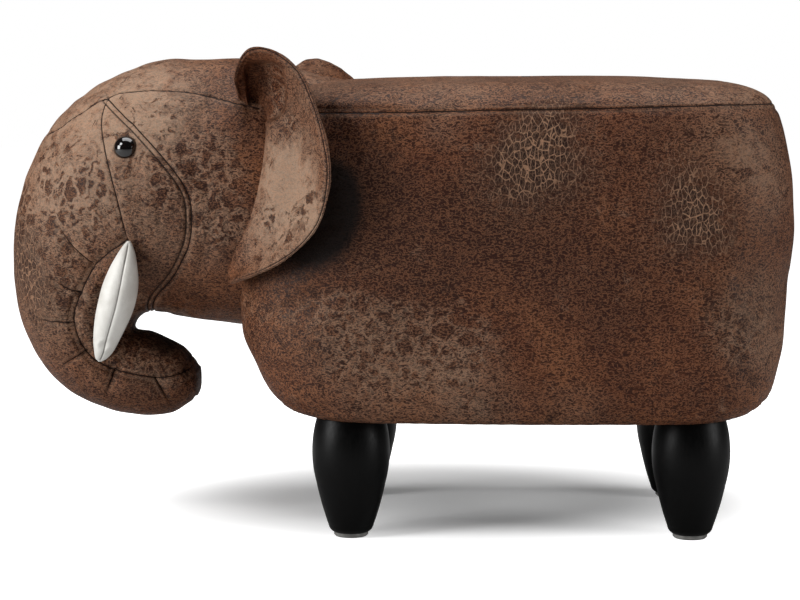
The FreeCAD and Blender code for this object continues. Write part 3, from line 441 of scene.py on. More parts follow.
@dataclass(frozen=True)
class Inflation:
    """A short cloth run that lets a cover swell between its sewn lines.

    Attributes:
        cap: Furthest that a point may move.
        pressure: Air pressure inside the cover.
        surplus: Share by which the cloth is larger than the form.
        quality: Steps that are worked out in each frame.
    """

    cap: float
    pressure: float = 3.0
    frames: int = 16
    surplus: float = 0.012
    mass: float = 0.4
    bending: float = 2.0
    quality: int = 5

    def swell(self, coarse: Surface, held: Grid) -> Grid:
        """Runs the cloth on a coarse surface and gives how far each point moved.

        Args:
            coarse: The surface to swell.
            held: 1 where the cloth is held by a seam or board, 0 where it is free.

        Returns:
            Array of the grid's shape with the move in x, y, z. Its length is eased towards
            the cap by a hyperbolic tangent.
        """
        piece = coarse.build("swelling_cover")
        count = held.size
        group = piece.vertex_groups.new(name="held")
        for level in np.unique(np.round(held.ravel(), 1)):
            members = np.flatnonzero(np.round(held.ravel(), 1) == level).tolist()
            group.add(members, float(level), "REPLACE")
        group.add([count, count + 1], 1.0, "REPLACE")
        cloth = piece.modifiers.new("Cloth", "CLOTH")
        cloth.settings.use_pressure = True
        cloth.settings.uniform_pressure_force = self.pressure
        cloth.settings.vertex_group_mass = group.name
        cloth.settings.pin_stiffness = 1.0
        cloth.settings.shrink_min = -self.surplus
        cloth.settings.quality = self.quality
        cloth.settings.mass = self.mass
        cloth.settings.bending_stiffness = self.bending
        cloth.settings.effector_weights.gravity = 0.0
        cloth.collision_settings.use_collision = False
        scene = bpy.context.scene
        cloth.point_cache.frame_start = 1
        cloth.point_cache.frame_end = self.frames
        for number in range(1, self.frames + 1):
            scene.frame_set(number)
        shaped = piece.evaluated_get(bpy.context.evaluated_depsgraph_get())
        moved = np.zeros(len(shaped.data.vertices) * 3, dtype=np.float32)
        shaped.data.vertices.foreach_get("co", moved)
        scene.frame_set(1)
        bpy.data.objects.remove(piece, do_unlink=True)
        shift = moved.reshape(-1, 3)[:count].reshape(coarse.points.shape) - coarse.points
        length = np.linalg.norm(shift, axis=2, keepdims=True) + 1e-9
        return shift * (self.cap * np.tanh(length / self.cap) / length)

    def fill(self, surface: Surface, coarse: Surface, held: Grid) -> Surface:
        """The surface moved as far as the cloth run moves a coarse one.

        Args:
            surface: The fine surface.
            coarse: The same form on a coarser grid.
            held: How firmly each coarse point is held, from 0 to 1.

        Returns:
            The moved surface.
        """
        rows, columns = surface.points.shape[:2]
        return Surface(surface.points + refined(self.swell(coarse, held), rows, columns))


def refined(coarse: Grid, rows: int, columns: int) -> Grid:
    """Reads a coarse closed grid at a finer one, by straight lines both ways.

    Args:
        coarse: Array of rows, columns and values, closed round its columns.
        rows: Rows of the finer grid.
        columns: Columns of the finer grid.

    Returns:
        The finer array.
    """
    row = np.linspace(0, coarse.shape[0] - 1, rows)
    low = np.minimum(row.astype(int), coarse.shape[0] - 2)
    share = (row - low)[:, None, None]
    tall = coarse[low] * (1 - share) + coarse[low + 1] * share
    column = np.arange(columns) * coarse.shape[1] / columns
    left = column.astype(int)
    part = (column - left)[None, :, None]
    right = (left + 1) % coarse.shape[1]
    return tall[:, left] * (1 - part) + tall[:, right] * part


@dataclass
class HeadCover:
    """The head and trunk in one fan of ovals round the corner of the mouth.

    Each oval runs from an outer to an inner point of the side view and stands out by a
    half width; the surface between ovals is a cubic through them.

    Attributes:
        tip_rows: Rows of the rounded end of the trunk.
        tip_depth: How far the end of the trunk stands out.
        neck_rows: Coarse rows at the neck that the body holds in the cloth run.
        hold_reach: Distance from a seam over which it holds the cloth.
        skin: Height, wavelength and seed of each layer of unevenness.
        ovals: Outer and inner point of each oval and its half width. These and the seams'
            points are shares of the head's sizes, from the mouth's corner.
        pale_spots: Paler patches as x, z and radius in millimetres, and strength: patches of wear, and
            high on the head and at the neck a painted highlight and sheen.
    """

    rows: int = 400
    columns: int = 340
    tip_rows: int = 14
    tip_depth: float = 6.5 * MM
    coarse_step: int = 5
    neck_rows: int = 6
    hold_reach: float = 5 * MM
    topstitch: float = -4.2 * MM
    skin: Rows = ((0.55 * MM, 62 * MM, 11), (0.18 * MM, 19 * MM, 12))
    inflation: Inflation = Inflation(cap=1.1 * MM)
    ovals: Rows = (
        (1.950, 0.915, 1.320, 0.030, 0.90),
        (1.570, 0.940, 1.150, 0.010, 1.00),
        (1.220, 0.970, 1.010, 0.008, 1.00),
        (0.870, 1.000, 0.870, 0.005, 1.00),
        (0.535, 1.000, 0.580, 0.020, 0.99),
        (0.200, 0.988, 0.350, 0.040, 0.975),
        (-0.150, 0.939, 0.185, 0.050, 0.95),
        (-0.450, 0.855, 0.085, 0.048, 0.90),
        (-0.700, 0.733, 0.035, 0.036, 0.825),
        (-0.890, 0.550, 0.000, 0.020, 0.75),
        (-1.000, 0.333, -0.015, 0.005, 0.67),
        (-0.992, 0.085, -0.024, -0.010, 0.60),
        (-0.840, -0.113, -0.015, -0.023, 0.53),
        (-0.582, -0.250, 0.009, -0.028, 0.47),
        (-0.266, -0.326, 0.060, -0.030, 0.43),
        (0.035, -0.350, 0.134, -0.037, 0.40),
        (0.269, -0.342, 0.243, -0.060, 0.37),
        (0.435, -0.303, 0.368, -0.090, 0.33),
        (0.480, -0.278, 0.455, -0.128, 0.28),
    )
    gusset_seam: Rows = (
        (-0.71, 0.72), (-0.59, 0.745), (-0.46, 0.785), (-0.29, 0.83), (-0.15, 0.865),
        (0.00, 0.885), (0.20, 0.893), (0.41, 0.89), (0.61, 0.88), (0.80, 0.862), (1.10, 0.83),
    )
    rear_seam: Rows = (
        (-0.15, 0.865), (0.15, 0.75), (0.42, 0.62), (0.56, 0.52), (0.58, 0.41), (0.54, 0.32),
        (0.42, 0.22), (0.25, 0.13), (0.18, 0.08), (0.12, 0.00),
    )
    eye_seam: Rows = (
        (-0.15, 0.865), (-0.17, 0.78), (-0.13, 0.69), (-0.06, 0.58), (0.01, 0.46), (0.06, 0.35),
    )
    trunk_seam: Rows = (
        (0.06, 0.35), (-0.20, 0.26), (-0.35, 0.15), (-0.43, 0.04), (-0.35, -0.08),
        (-0.19, -0.14), (0.01, -0.17), (0.25, -0.187), (0.40, -0.172), (0.49, -0.150),
    )
    darts: tuple[Rows, ...] = (
        ((-0.573, 0.435), (-0.415, 0.325), (-0.241, 0.250)),
        ((-0.640, 0.215), (-0.500, 0.168), (-0.366, 0.142)),
        ((-0.830, 0.055), (-0.670, 0.033), (-0.435, 0.028)),
        ((-0.645, -0.165), (-0.490, -0.118), (-0.345, -0.080)),
        ((-0.250, -0.280), (-0.180, -0.215), (-0.125, -0.154)),
        ((0.325, -0.318), (0.262, -0.250), (0.197, -0.187)),
        ((0.522, -0.228), (0.485, -0.193), (0.440, -0.160)),
    )
    brow_fold: Rows = (
        (-0.10, 0.895), (0.12, 0.922), (0.36, 0.925), (0.60, 0.912),
    )
    pale_spots: Rows = (
        (-250, 310, 60, 0.9), (-196, 331, 40, 0.95), (-285, 250, 44, 0.6),
        (-165, 352, 60, 0.35), (-285, 165, 34, 0.6), (-240, 190, 34, 0.35),
        (-212, 250, 40, 0.35), (-140, 240, 34, 0.45), (-178, 226, 30, 0.3),
        (-232, 130, 34, 0.4), (-70, 356, 30, 0.6),
    )
    cracked_spots: Rows = (
        (-300, 225, 26, 0.9), (-291, 190, 24, 0.9), (-278, 160, 20, 0.5),
        (-195, 118, 22, 0.7),
    )
    # Darker patches; the two on the inner face of the trunk are painted shade under the head.
    darker_spots: Rows = (
        (-254, 264, 22, 0.8), (-231, 273, 14, 0.8), (-240, 284, 12, 0.7),
        (-270, 290, 14, 0.6), (-165, 288, 26, 0.6), (-146, 279, 24, 0.55),
        (-138, 300, 22, 0.45), (-300, 250, 20, 0.7), (-272, 232, 30, 0.6),
        (-215, 330, 16, 0.5), (-180, 318, 14, 0.5), (-262, 180, 30, 0.5),
        (-205, 245, 40, 0.35), (-218, 160, 28, 0.9), (-185, 140, 26, 1.5),
        (-128, 250, 30, 0.6),
    )

    def line(self, shares: Rows, **settings: float) -> SewnLine:
        """A sewn line from shares of the head's reach and rise."""
        table = np.array(shares) * (HEAD_REACH, HEAD_RISE) + MOUTH
        return SewnLine(table, **settings)

    def form(self, rows: int, columns: int) -> Surface:
        """The bare form: centre + along * half length * cos + across * half width * sin.

        Args:
            rows: Grid rows from neck to tip, without the rounded end.
            columns: Grid columns.

        Returns:
            The surface, its trunk end rounded as the root of 1 - depth squared.
        """
        table = np.array(self.ovals)
        shares = between_rows(table, even_places(table, [0, 1], rows))
        outer = self._spot(shares[:, 0], shares[:, 1])
        inner = self._spot(shares[:, 2], shares[:, 3])
        middle = (outer + inner) / 2
        reach = (outer - inner) / 2
        wide = shares[:, 4] * HEAD_WIDTH / 2
        depth = np.linspace(0, 1, self.tip_rows + 1)[1:] * 0.999
        ahead = middle[-1] - middle[-4]
        ahead /= np.linalg.norm(ahead)
        shrink = np.sqrt(1 - depth ** 2)
        middle = np.vstack([middle, middle[-1] + ahead * (self.tip_depth * depth)[:, None]])
        reach = np.vstack([reach, reach[-1] * shrink[:, None]])
        wide = np.concatenate([wide, wide[-1] * shrink])
        turn = np.linspace(0, 2 * math.pi, columns, endpoint=False)
        across = np.array([0.0, 1.0, 0.0])
        points = (middle[:, None] + reach[:, None] * np.cos(turn)[None, :, None]
                  + across * (wide[:, None] * np.sin(turn))[:, :, None])
        return Surface(points)

    def _spot(self, across: Grid, up: Grid) -> Grid:
        """Points of the centre plane from shares of reach and rise."""
        return np.stack([MOUTH[0] + across * HEAD_REACH, np.zeros(len(across)),
                         MOUTH[1] + up * HEAD_RISE], axis=1)

    def sewn(self, surface: Surface) -> tuple[dict[str, Grid], Grid]:
        """The sewn lines as channels, and the height that they give the cover.

        Args:
            surface: The form to measure on.

        Returns:
            Channels by name, and the height per grid point.
        """
        spots = surface.points.reshape(-1, 3)
        normals = surface.normals().reshape(-1, 3)
        gusset = self.line(self.gusset_seam).measure(spots, normals)
        trunk = self.line(self.trunk_seam).measure(spots, normals)
        rear = self.line(self.rear_seam).measure(spots, normals)
        eye = self.line(self.eye_seam).measure(spots, normals)
        height = SeamRelief().height(gusset)
        height += SeamRelief(valley=1.6 * MM, valley_width=7 * MM).height(trunk)
        height += SeamRelief(step=0.4 * MM, pucker=0.0).height(rear)
        height += SeamRelief(valley=0.5 * MM).height(eye)
        height += self._welt(rear)
        folds = eye
        for dart in self.darts:
            crease = self.line(dart, presence_reach=9 * MM, end_fade=6 * MM)
            found = crease.measure(spots, normals)
            opening = smooth_step(found[:, 1], 0, 22 * MM)
            height += SeamRelief(cut=1.1 * MM, valley=1.6 * MM, valley_width=6 * MM,
                                 pucker=0.0, step=0.5 * MM).height(found) * opening
            found[:, 2] *= opening
            folds = merge_channels(folds, found)
        brow = self.line(self.brow_fold, end_fade=10 * MM).measure(spots, normals)
        height -= 0.35 * MM * bell(brow[:, 0], 1.6 * MM) * brow[:, 2]
        channels = {"seam_a": merge_channels(gusset, trunk), "seam_b": rear, "seam_c": folds}
        shape = surface.points.shape
        return ({name: value.reshape(shape) for name, value in channels.items()},
                height.reshape(shape[:2]))

    def _welt(self, rear: Grid) -> Grid:
        """The raised strip between the rear seam and its topstitching.

        A bell between the two lines, minus a narrow bell under the topstitching and a
        wide one round it.

        Args:
            rear: Rows of signed distance, run and presence of the rear seam.

        Returns:
            One height per row.
        """
        distance, presence = rear[:, 0], rear[:, 2]
        wander = 1.3 * np.sin(rear[:, 1] * 2 * math.pi / (23 * MM))
        folds = 1 + 0.35 * np.cos(rear[:, 1] * 2 * math.pi / (4.2 * MM) + wander)
        strip = 0.75 * MM * bell(distance - self.topstitch / 2, 1.3 * MM) * folds
        groove = 0.7 * MM * bell(distance - self.topstitch, 0.7 * MM)
        valley = 0.4 * MM * bell(distance - self.topstitch, 4 * MM)
        return (strip - groove - valley) * presence

    def build(self) -> tuple[Piece, list[Path]]:
        """The finished cover: form, cloth run, sewn relief and uneven skin.

        Returns:
            The cover, and the paths of the topstitching on both cheeks.
        """
        surface = self.form(self.rows, self.columns)
        surface = self._padded(surface)
        channels, relief = self.sewn(surface)
        flat = surface.points.reshape(-1, 3)
        done = surface.raised(relief + uneven(flat, self.skin).reshape(relief.shape))
        marks = (self.pale_spots, self.cracked_spots, self.darker_spots)
        done.channels = channels | {"patina_and_painted_light": patina_and_painted_light(done.points, marks)}
        flat, normals = done.points.reshape(-1, 3), done.normals().reshape(-1, 3)
        rear = channels["seam_b"].reshape(-1, 3)
        paths = [stitch_path(flat, normals, rear, self.topstitch, flat[:, 1] * hand.value > 0)
                 for hand in Hand]
        return done.build("head_cover"), paths

    def _padded(self, surface: Surface) -> Surface:
        """The surface after a cloth run held along its sewn lines and at the neck.

        Args:
            surface: The bare form.

        Returns:
            The swollen form.
        """
        coarse = self.form(self.rows // self.coarse_step, self.columns // self.coarse_step)
        channels, _ = self.sewn(coarse)
        held = held_by(channels.values(), self.hold_reach)
        held[:self.neck_rows] = 1.0
        return self.inflation.fill(surface, coarse, held)


def held_by(seams: Iterable[Grid], reach: float) -> Grid:
    """How firmly sewn lines hold the cover: the largest of their bells at each point."""
    return np.max([bell(seam[..., 0], reach) * seam[..., 2] for seam in seams], axis=0)


def patches(points: Grid, spots: Rows) -> Grid:
    """Sum of soft round patches seen from the side, held between -1 and 2.

    Args:
        points: Array ending in x, y, z.
        spots: Rows of x, z and radius in millimetres, and strength.

    Returns:
        The sum of strength * exp(-(distance / radius) squared).
    """
    total = np.zeros(points.shape[:-1])
    for across, up, radius, strength in spots:
        gap = np.hypot(points[..., 0] - across * MM, points[..., 2] - up * MM)
        total += strength * bell(gap, radius * MM)
    return np.clip(total, -1, 2)


def patina_and_painted_light(points: Grid, marks: tuple[Rows, Rows, Rows]) -> Grid:
    """How pale, cracked and blotchy the leather is, as the last axis; some of the patches are painted
    highlight and painted shade.
    """
    return np.stack([patches(points, spots) for spots in marks], axis=-1)


@dataclass
class BodyCover:
    """The padded body: rounded plan outlines from the hem up to the crown.

    Each outline is a rounded oblong with bowed sides. Its table gives height, front, rear,
    half width and the front corner's radius, in the shares that the solid has.

    Attributes:
        edge_depth: How far in the rounded top edge reaches.
        bow_reach: Half width below which the bows fade.
        rear_corner: Radius of the rear corners, as a share of the half width.
        crown_level: Height from which the crown is painted paler all over, by the setting after it, as
            a highlight of the top light.
    """

    hem_rows: int = 14
    wall_rows: int = 150
    edge_rows: int = 34
    crown_rows: int = 36
    columns: int = 640
    hem_width: float = 29 * MM
    edge_depth: float = 46 * MM
    edge_rise: float = 19.0 * MM
    flank_bow: float = 5 * MM
    end_bow: float = 3 * MM
    bow_reach: float = 60 * MM
    rear_corner: float = 0.45
    crown_swell: float = 3.2 * MM
    seam_front: float = 329.5 * MM
    seam_rear: float = 338.5 * MM
    crown_level: float = 345 * MM
    # Painted highlight of the top light: how much paler the crown is made.
    crown_highlight: float = 0.5
    coarse_step: int = 5
    hold_reach: float = 6 * MM
    skin: Rows = ((0.8 * MM, 95 * MM, 21), (0.22 * MM, 27 * MM, 22))
    inflation: Inflation = Inflation(cap=1.7 * MM)
    plans: Rows = (
        (0.000, -0.376, 0.412, 0.885, 0.52),
        (0.020, -0.403, 0.438, 0.93, 0.52),
        (0.065, -0.430, 0.464, 0.955, 0.54),
        (0.142, -0.453, 0.479, 0.975, 0.57),
        (0.249, -0.479, 0.487, 0.985, 0.61),
        (0.402, -0.482, 0.491, 0.993, 0.65),
        (0.556, -0.464, 0.500, 1.0, 0.66),
        (0.747, -0.434, 0.493, 0.993, 0.66),
        (0.881, -0.416, 0.477, 0.972, 0.66),
        (0.915, -0.408, 0.467, 0.955, 0.66),
    )
    # Paler patches, mostly wear; the one high at the rear is a painted highlight. Below zero they
    # darken, and behind the ear and over the middle of the flank that is painted shade.
    pale_spots: Rows = (
        (258, 305, 34, 0.8), (282, 270, 26, 0.5), (6, 152, 36, 0.5), (-39, 170, 34, 0.55),
        (52, 134, 34, 0.4), (-96, 172, 30, 0.15), (271, 190, 34, 0.55), (288, 150, 30, 0.5),
        (40, 318, 30, 0.4), (60, 108, 30, 0.4), (-20, 112, 30, 0.35), (140, 110, 30, 0.3),
        (160, 205, 60, -0.7), (10, 240, 52, -0.7), (85, 235, 46, -0.6), (105, 300, 44, -0.6),
        (232, 262, 34, -0.35), (-90, 205, 36, -0.5), (-40, 262, 52, -0.9),
    )
    cracked_spots: Rows = (
        (108, 304, 34, 0.9), (90, 284, 30, 0.8), (118, 325, 24, 0.6), (140, 285, 26, 0.4),
        (214, 292, 28, 0.6), (226, 262, 28, 0.9), (240, 242, 24, 0.7), (205, 240, 22, 0.4),
        (268, 180, 34, 0.6), (0, 160, 50, 0.35), (-95, 175, 34, 0.4),
    )
    # Darker patches; the two strongest, behind the ear, paint its shadow on the body.
    darker_spots: Rows = (
        (-46, 280, 36, 1.6), (-56, 240, 42, 1.9), (-100, 212, 36, 0.9), (262, 170, 34, 0.6),
        (40, 162, 44, 0.7), (-20, 150, 40, 0.65),
    )

    def outline(self, level: Grid, front: Grid, rear: Grid, side: Grid, corner: Grid,
                columns: int) -> Grid:
        """Rounded oblongs, one per row.

        A direction turns evenly round the plan; each quarter is a corner arc reached from
        bowed sides. The side's bow is the bow times one minus the squared share of its
        length, and it fades where the oblong is narrower than twice bow_reach.

        Args:
            level: Height of each row.
            front: Its lowest x.
            rear: Its highest x.
            side: Its half width.
            corner: Radius of its front corners.
            columns: Grid columns.

        Returns:
            Array of rows, columns and x, y, z.
        """
        share = np.linspace(0, 8, columns, endpoint=False)
        radius = self.rear_corner * side
        ease = np.minimum(side / self.bow_reach, 1)[:, None]
        end_bow, flank_bow = self.end_bow * ease, self.flank_bow * ease
        front_x, rear_x = front + corner, rear - radius
        front_y, rear_y = side - corner, side - radius
        place = share[None, :]
        spots = [
            self._straight(place, rear, rear, -rear_y, rear_y, end_bow, (1, 0)),
            self._arc(place - 1, rear_x, rear_y, radius, 0, ease),
            self._straight(place - 2, rear_x, front_x, side, side, flank_bow, (0, 1)),
            self._arc(place - 3, front_x, front_y, corner, 1, ease),
            self._straight(place - 4, front, front, front_y, -front_y, end_bow, (-1, 0)),
            self._arc(place - 5, front_x, -front_y, corner, 2, ease),
            self._straight(place - 6, front_x, rear_x, -side, -side, flank_bow, (0, -1)),
            self._arc(place - 7, rear_x, -rear_y, radius, 3, ease),
        ]
        part = np.minimum(share.astype(int), len(spots) - 1)
        chosen = np.stack(spots)[part, :, np.arange(columns)].transpose(1, 0, 2)
        height = np.broadcast_to(level[:, None, None], (*chosen.shape[:2], 1))
        return np.concatenate([chosen, height], axis=2)

    def _straight(self, share: Grid, x_start: Grid, x_end: Grid, y_start: Grid, y_end: Grid,
                  bow: Grid, outward: tuple[int, int]) -> Grid:
        """A side from start to end, eased in by its bow towards both of its corners.

        Args:
            share: Share of the way along the side, per column.
            x_start: Where it starts, per row.
            x_end: Where it ends.
            y_start: Its y at the start.
            y_end: Its y at the end.
            bow: How far its middle stands out, per row.
            outward: Direction that it faces.

        Returns:
            Array of rows, columns and x, y.
        """
        share = np.clip(share, 0, 1)
        drop = bow * (2 * share - 1) ** 2
        across = x_start[:, None] * (1 - share) + x_end[:, None] * share - outward[0] * drop
        out = y_start[:, None] * (1 - share) + y_end[:, None] * share - outward[1] * drop
        return np.stack([across, out], axis=2)

    def _arc(self, share: Grid, x_centre: Grid, y_centre: Grid, radius: Grid,
             quarter: int, ease: Grid) -> Grid:
        """A quarter arc about its centre, eased from the bow of one side to the next.

        Args:
            share: Share of the way round the arc, per column.
            x_centre: Centre of the corner, per row.
            y_centre: Its y.
            radius: The corner's radius, per row.
            quarter: Which corner, counted from the rear one on the right.
            ease: Share of both bows that is left, per row.

        Returns:
            Array of rows, columns and x, y.
        """
        share = np.clip(share, 0, 1)
        turn = (quarter + share) * math.pi / 2
        bows = (self.end_bow, self.flank_bow) if quarter % 2 == 0 else (self.flank_bow, self.end_bow)
        first = np.abs(np.cos(turn)) if quarter % 2 == 0 else np.abs(np.sin(turn))
        drop = ease * (bows[0] * first ** 2 + bows[1] * (1 - first ** 2))
        reach = radius[:, None] - drop
        across = x_centre[:, None] + reach * np.cos(turn)
        out = y_centre[:, None] + reach * np.sin(turn)
        return np.stack([across, out], axis=2)

    def form(self, fineness: int = 1) -> Surface:
        """The bare form from the inner edge of the hem to the middle of the crown.

        Args:
            fineness: How many times fewer rows and columns than the finished cover.

        Returns:
            The surface. The hem and the crown are its first outline drawn in and its
            last drawn in along a quarter ellipse, then level to the middle.
        """
        table = np.array(self.plans)
        scaled = table[:, :3] * (BODY_HEIGHT, BODY_LENGTH, BODY_LENGTH)
        places = even_places(scaled, [0, 2], self.wall_rows // fineness)
        rows = between_rows(table, places)
        level = BODY_FLOOR + rows[:, 0] * BODY_HEIGHT
        front = BODY_MIDDLE + rows[:, 1] * BODY_LENGTH
        rear = BODY_MIDDLE + rows[:, 2] * BODY_LENGTH
        side = rows[:, 3] * BODY_WIDTH / 2
        corner = rows[:, 4] * side
        hem = np.linspace(1, 0, self.hem_rows // fineness + 1)[:-1] * self.hem_width
        turn = np.linspace(0, math.pi / 2, self.edge_rows // fineness + 1)[1:]
        inward = self.edge_depth * (1 - np.cos(turn))
        rise = self.edge_rise * np.sin(turn)
        flat = np.linspace(0, 1, self.crown_rows // fineness + 1)[1:] ** 0.9
        inset = self.edge_depth + flat * (side[-1] - self.edge_depth - 1 * MM)
        lift = self.edge_rise + self.crown_swell * (1 - (1 - flat) ** 2)
        drawn = np.concatenate([hem, np.zeros(len(level)), inward, inset])
        last = len(level) - 1
        source = np.concatenate([np.zeros(len(hem), int), np.arange(len(level)),
                                 np.full(len(turn) + len(flat), last)])
        high = np.concatenate([np.zeros(len(hem)), np.zeros(len(level)), rise, lift])
        side_in = side[source] - drawn
        corner_in = np.minimum(corner[source], side_in * 0.98)
        points = self.outline(level[source] + high, front[source] + drawn,
                              rear[source] - drawn, side_in, corner_in, self.columns // fineness)
        return Surface(points)

    def sewn(self, surface: Surface) -> tuple[dict[str, Grid], Grid]:
        """The top seam and the centre-back seam as channels, and their relief.

        The top seam's distance is the height above its sloping plane, divided by how
        steep the cover is there; the back seam's is the distance from the centre plane.

        Args:
            surface: The form to measure on.

        Returns:
            Channels by name, and the height per grid point.
        """
        points, normals = surface.points, surface.normals()
        share = (points[:, :, 0] - BODY_MIDDLE) / BODY_LENGTH + 0.5
        plane = self.seam_front + (self.seam_rear - self.seam_front) * share
        steep = np.sqrt(np.clip(1 - normals[:, :, 2] ** 2, 0.04, 1))
        above = (points[:, :, 2] - plane) / steep
        near = 1 - smooth_step(np.abs(above), 5 * MM, 8 * MM)
        top = np.stack([above, run_round(points), near], axis=-1)
        back_near = 1 - smooth_step(np.abs(points[:, :, 1]), 5 * MM, 8 * MM)
        back_near *= (points[:, :, 0] > BODY_MIDDLE) * (above < 0)
        back_near *= points[:, :, 2] > BODY_FLOOR + 1 * MM
        back = np.stack([points[:, :, 1], points[:, :, 2], back_near], axis=-1)
        relief = SeamRelief(cut=0.6 * MM, valley=0.1 * MM, valley_width=4 * MM,
                            pucker=0.12 * MM, pitch=9 * MM, step=0.1 * MM)
        height = relief.height(top.reshape(-1, 3))
        height += SeamRelief(step=0.0).height(back.reshape(-1, 3))
        return {"seam_a": top, "seam_c": back}, height.reshape(points.shape[:2])

    def build(self) -> Piece:
        """The finished cover: form, cloth run, sewn relief and uneven skin.

        Returns:
            The cover.
        """
        surface = self.form()
        surface = self._padded(surface)
        channels, relief = self.sewn(surface)
        flat = surface.points.reshape(-1, 3)
        free = smooth_step(flat[:, 2], BODY_FLOOR + 1 * MM, BODY_FLOOR + 25 * MM)
        free *= 1 - 0.6 * smooth_step(flat[:, 2], self.seam_rear, self.crown_level)
        gathers = self._gathers(surface).reshape(-1)
        height = relief + (uneven(flat, self.skin) * free + gathers).reshape(relief.shape)
        done = surface.raised(height)
        marks = patina_and_painted_light(done.points, (self.pale_spots, self.cracked_spots, self.darker_spots))
        # Painted highlight of the top light: the crown is made paler from the top seam up.
        marks[..., 0] += self.crown_highlight * smooth_step(done.points[..., 2], self.seam_front,
                                                       self.crown_level)
        done.channels = channels | {"patina_and_painted_light": marks}
        return done.build("body_cover")

    def _gathers(self, surface: Surface) -> Grid:
        """Small folds where the cover is pulled round the bottom edge.

        A cosine along the outline, strongest 12 mm above the floor of the body.

        Args:
            surface: The form to measure on.

        Returns:
            The height per grid point.
        """
        points = surface.points
        run = run_round(points)
        wander = 2.2 * np.sin(run * 2 * math.pi / (61 * MM))
        band = bell(points[:, :, 2] - BODY_FLOOR - 12 * MM, 10 * MM)
        return 0.35 * MM * np.cos(run * 2 * math.pi / (17 * MM) + wander) * band

    def _padded(self, surface: Surface) -> Surface:
        """The surface after a cloth run held along its seams and hem.

        Args:
            surface: The bare form.

        Returns:
            The swollen form.
        """
        coarse = self.form(self.coarse_step)
        channels, _ = self.sewn(coarse)
        held = held_by(channels.values(), self.hold_reach)
        hem = 1 - smooth_step(coarse.points[:, :, 2], BODY_FLOOR + 4 * MM, BODY_FLOOR + 30 * MM)
        return self.inflation.fill(surface, coarse, np.maximum(held, hem))


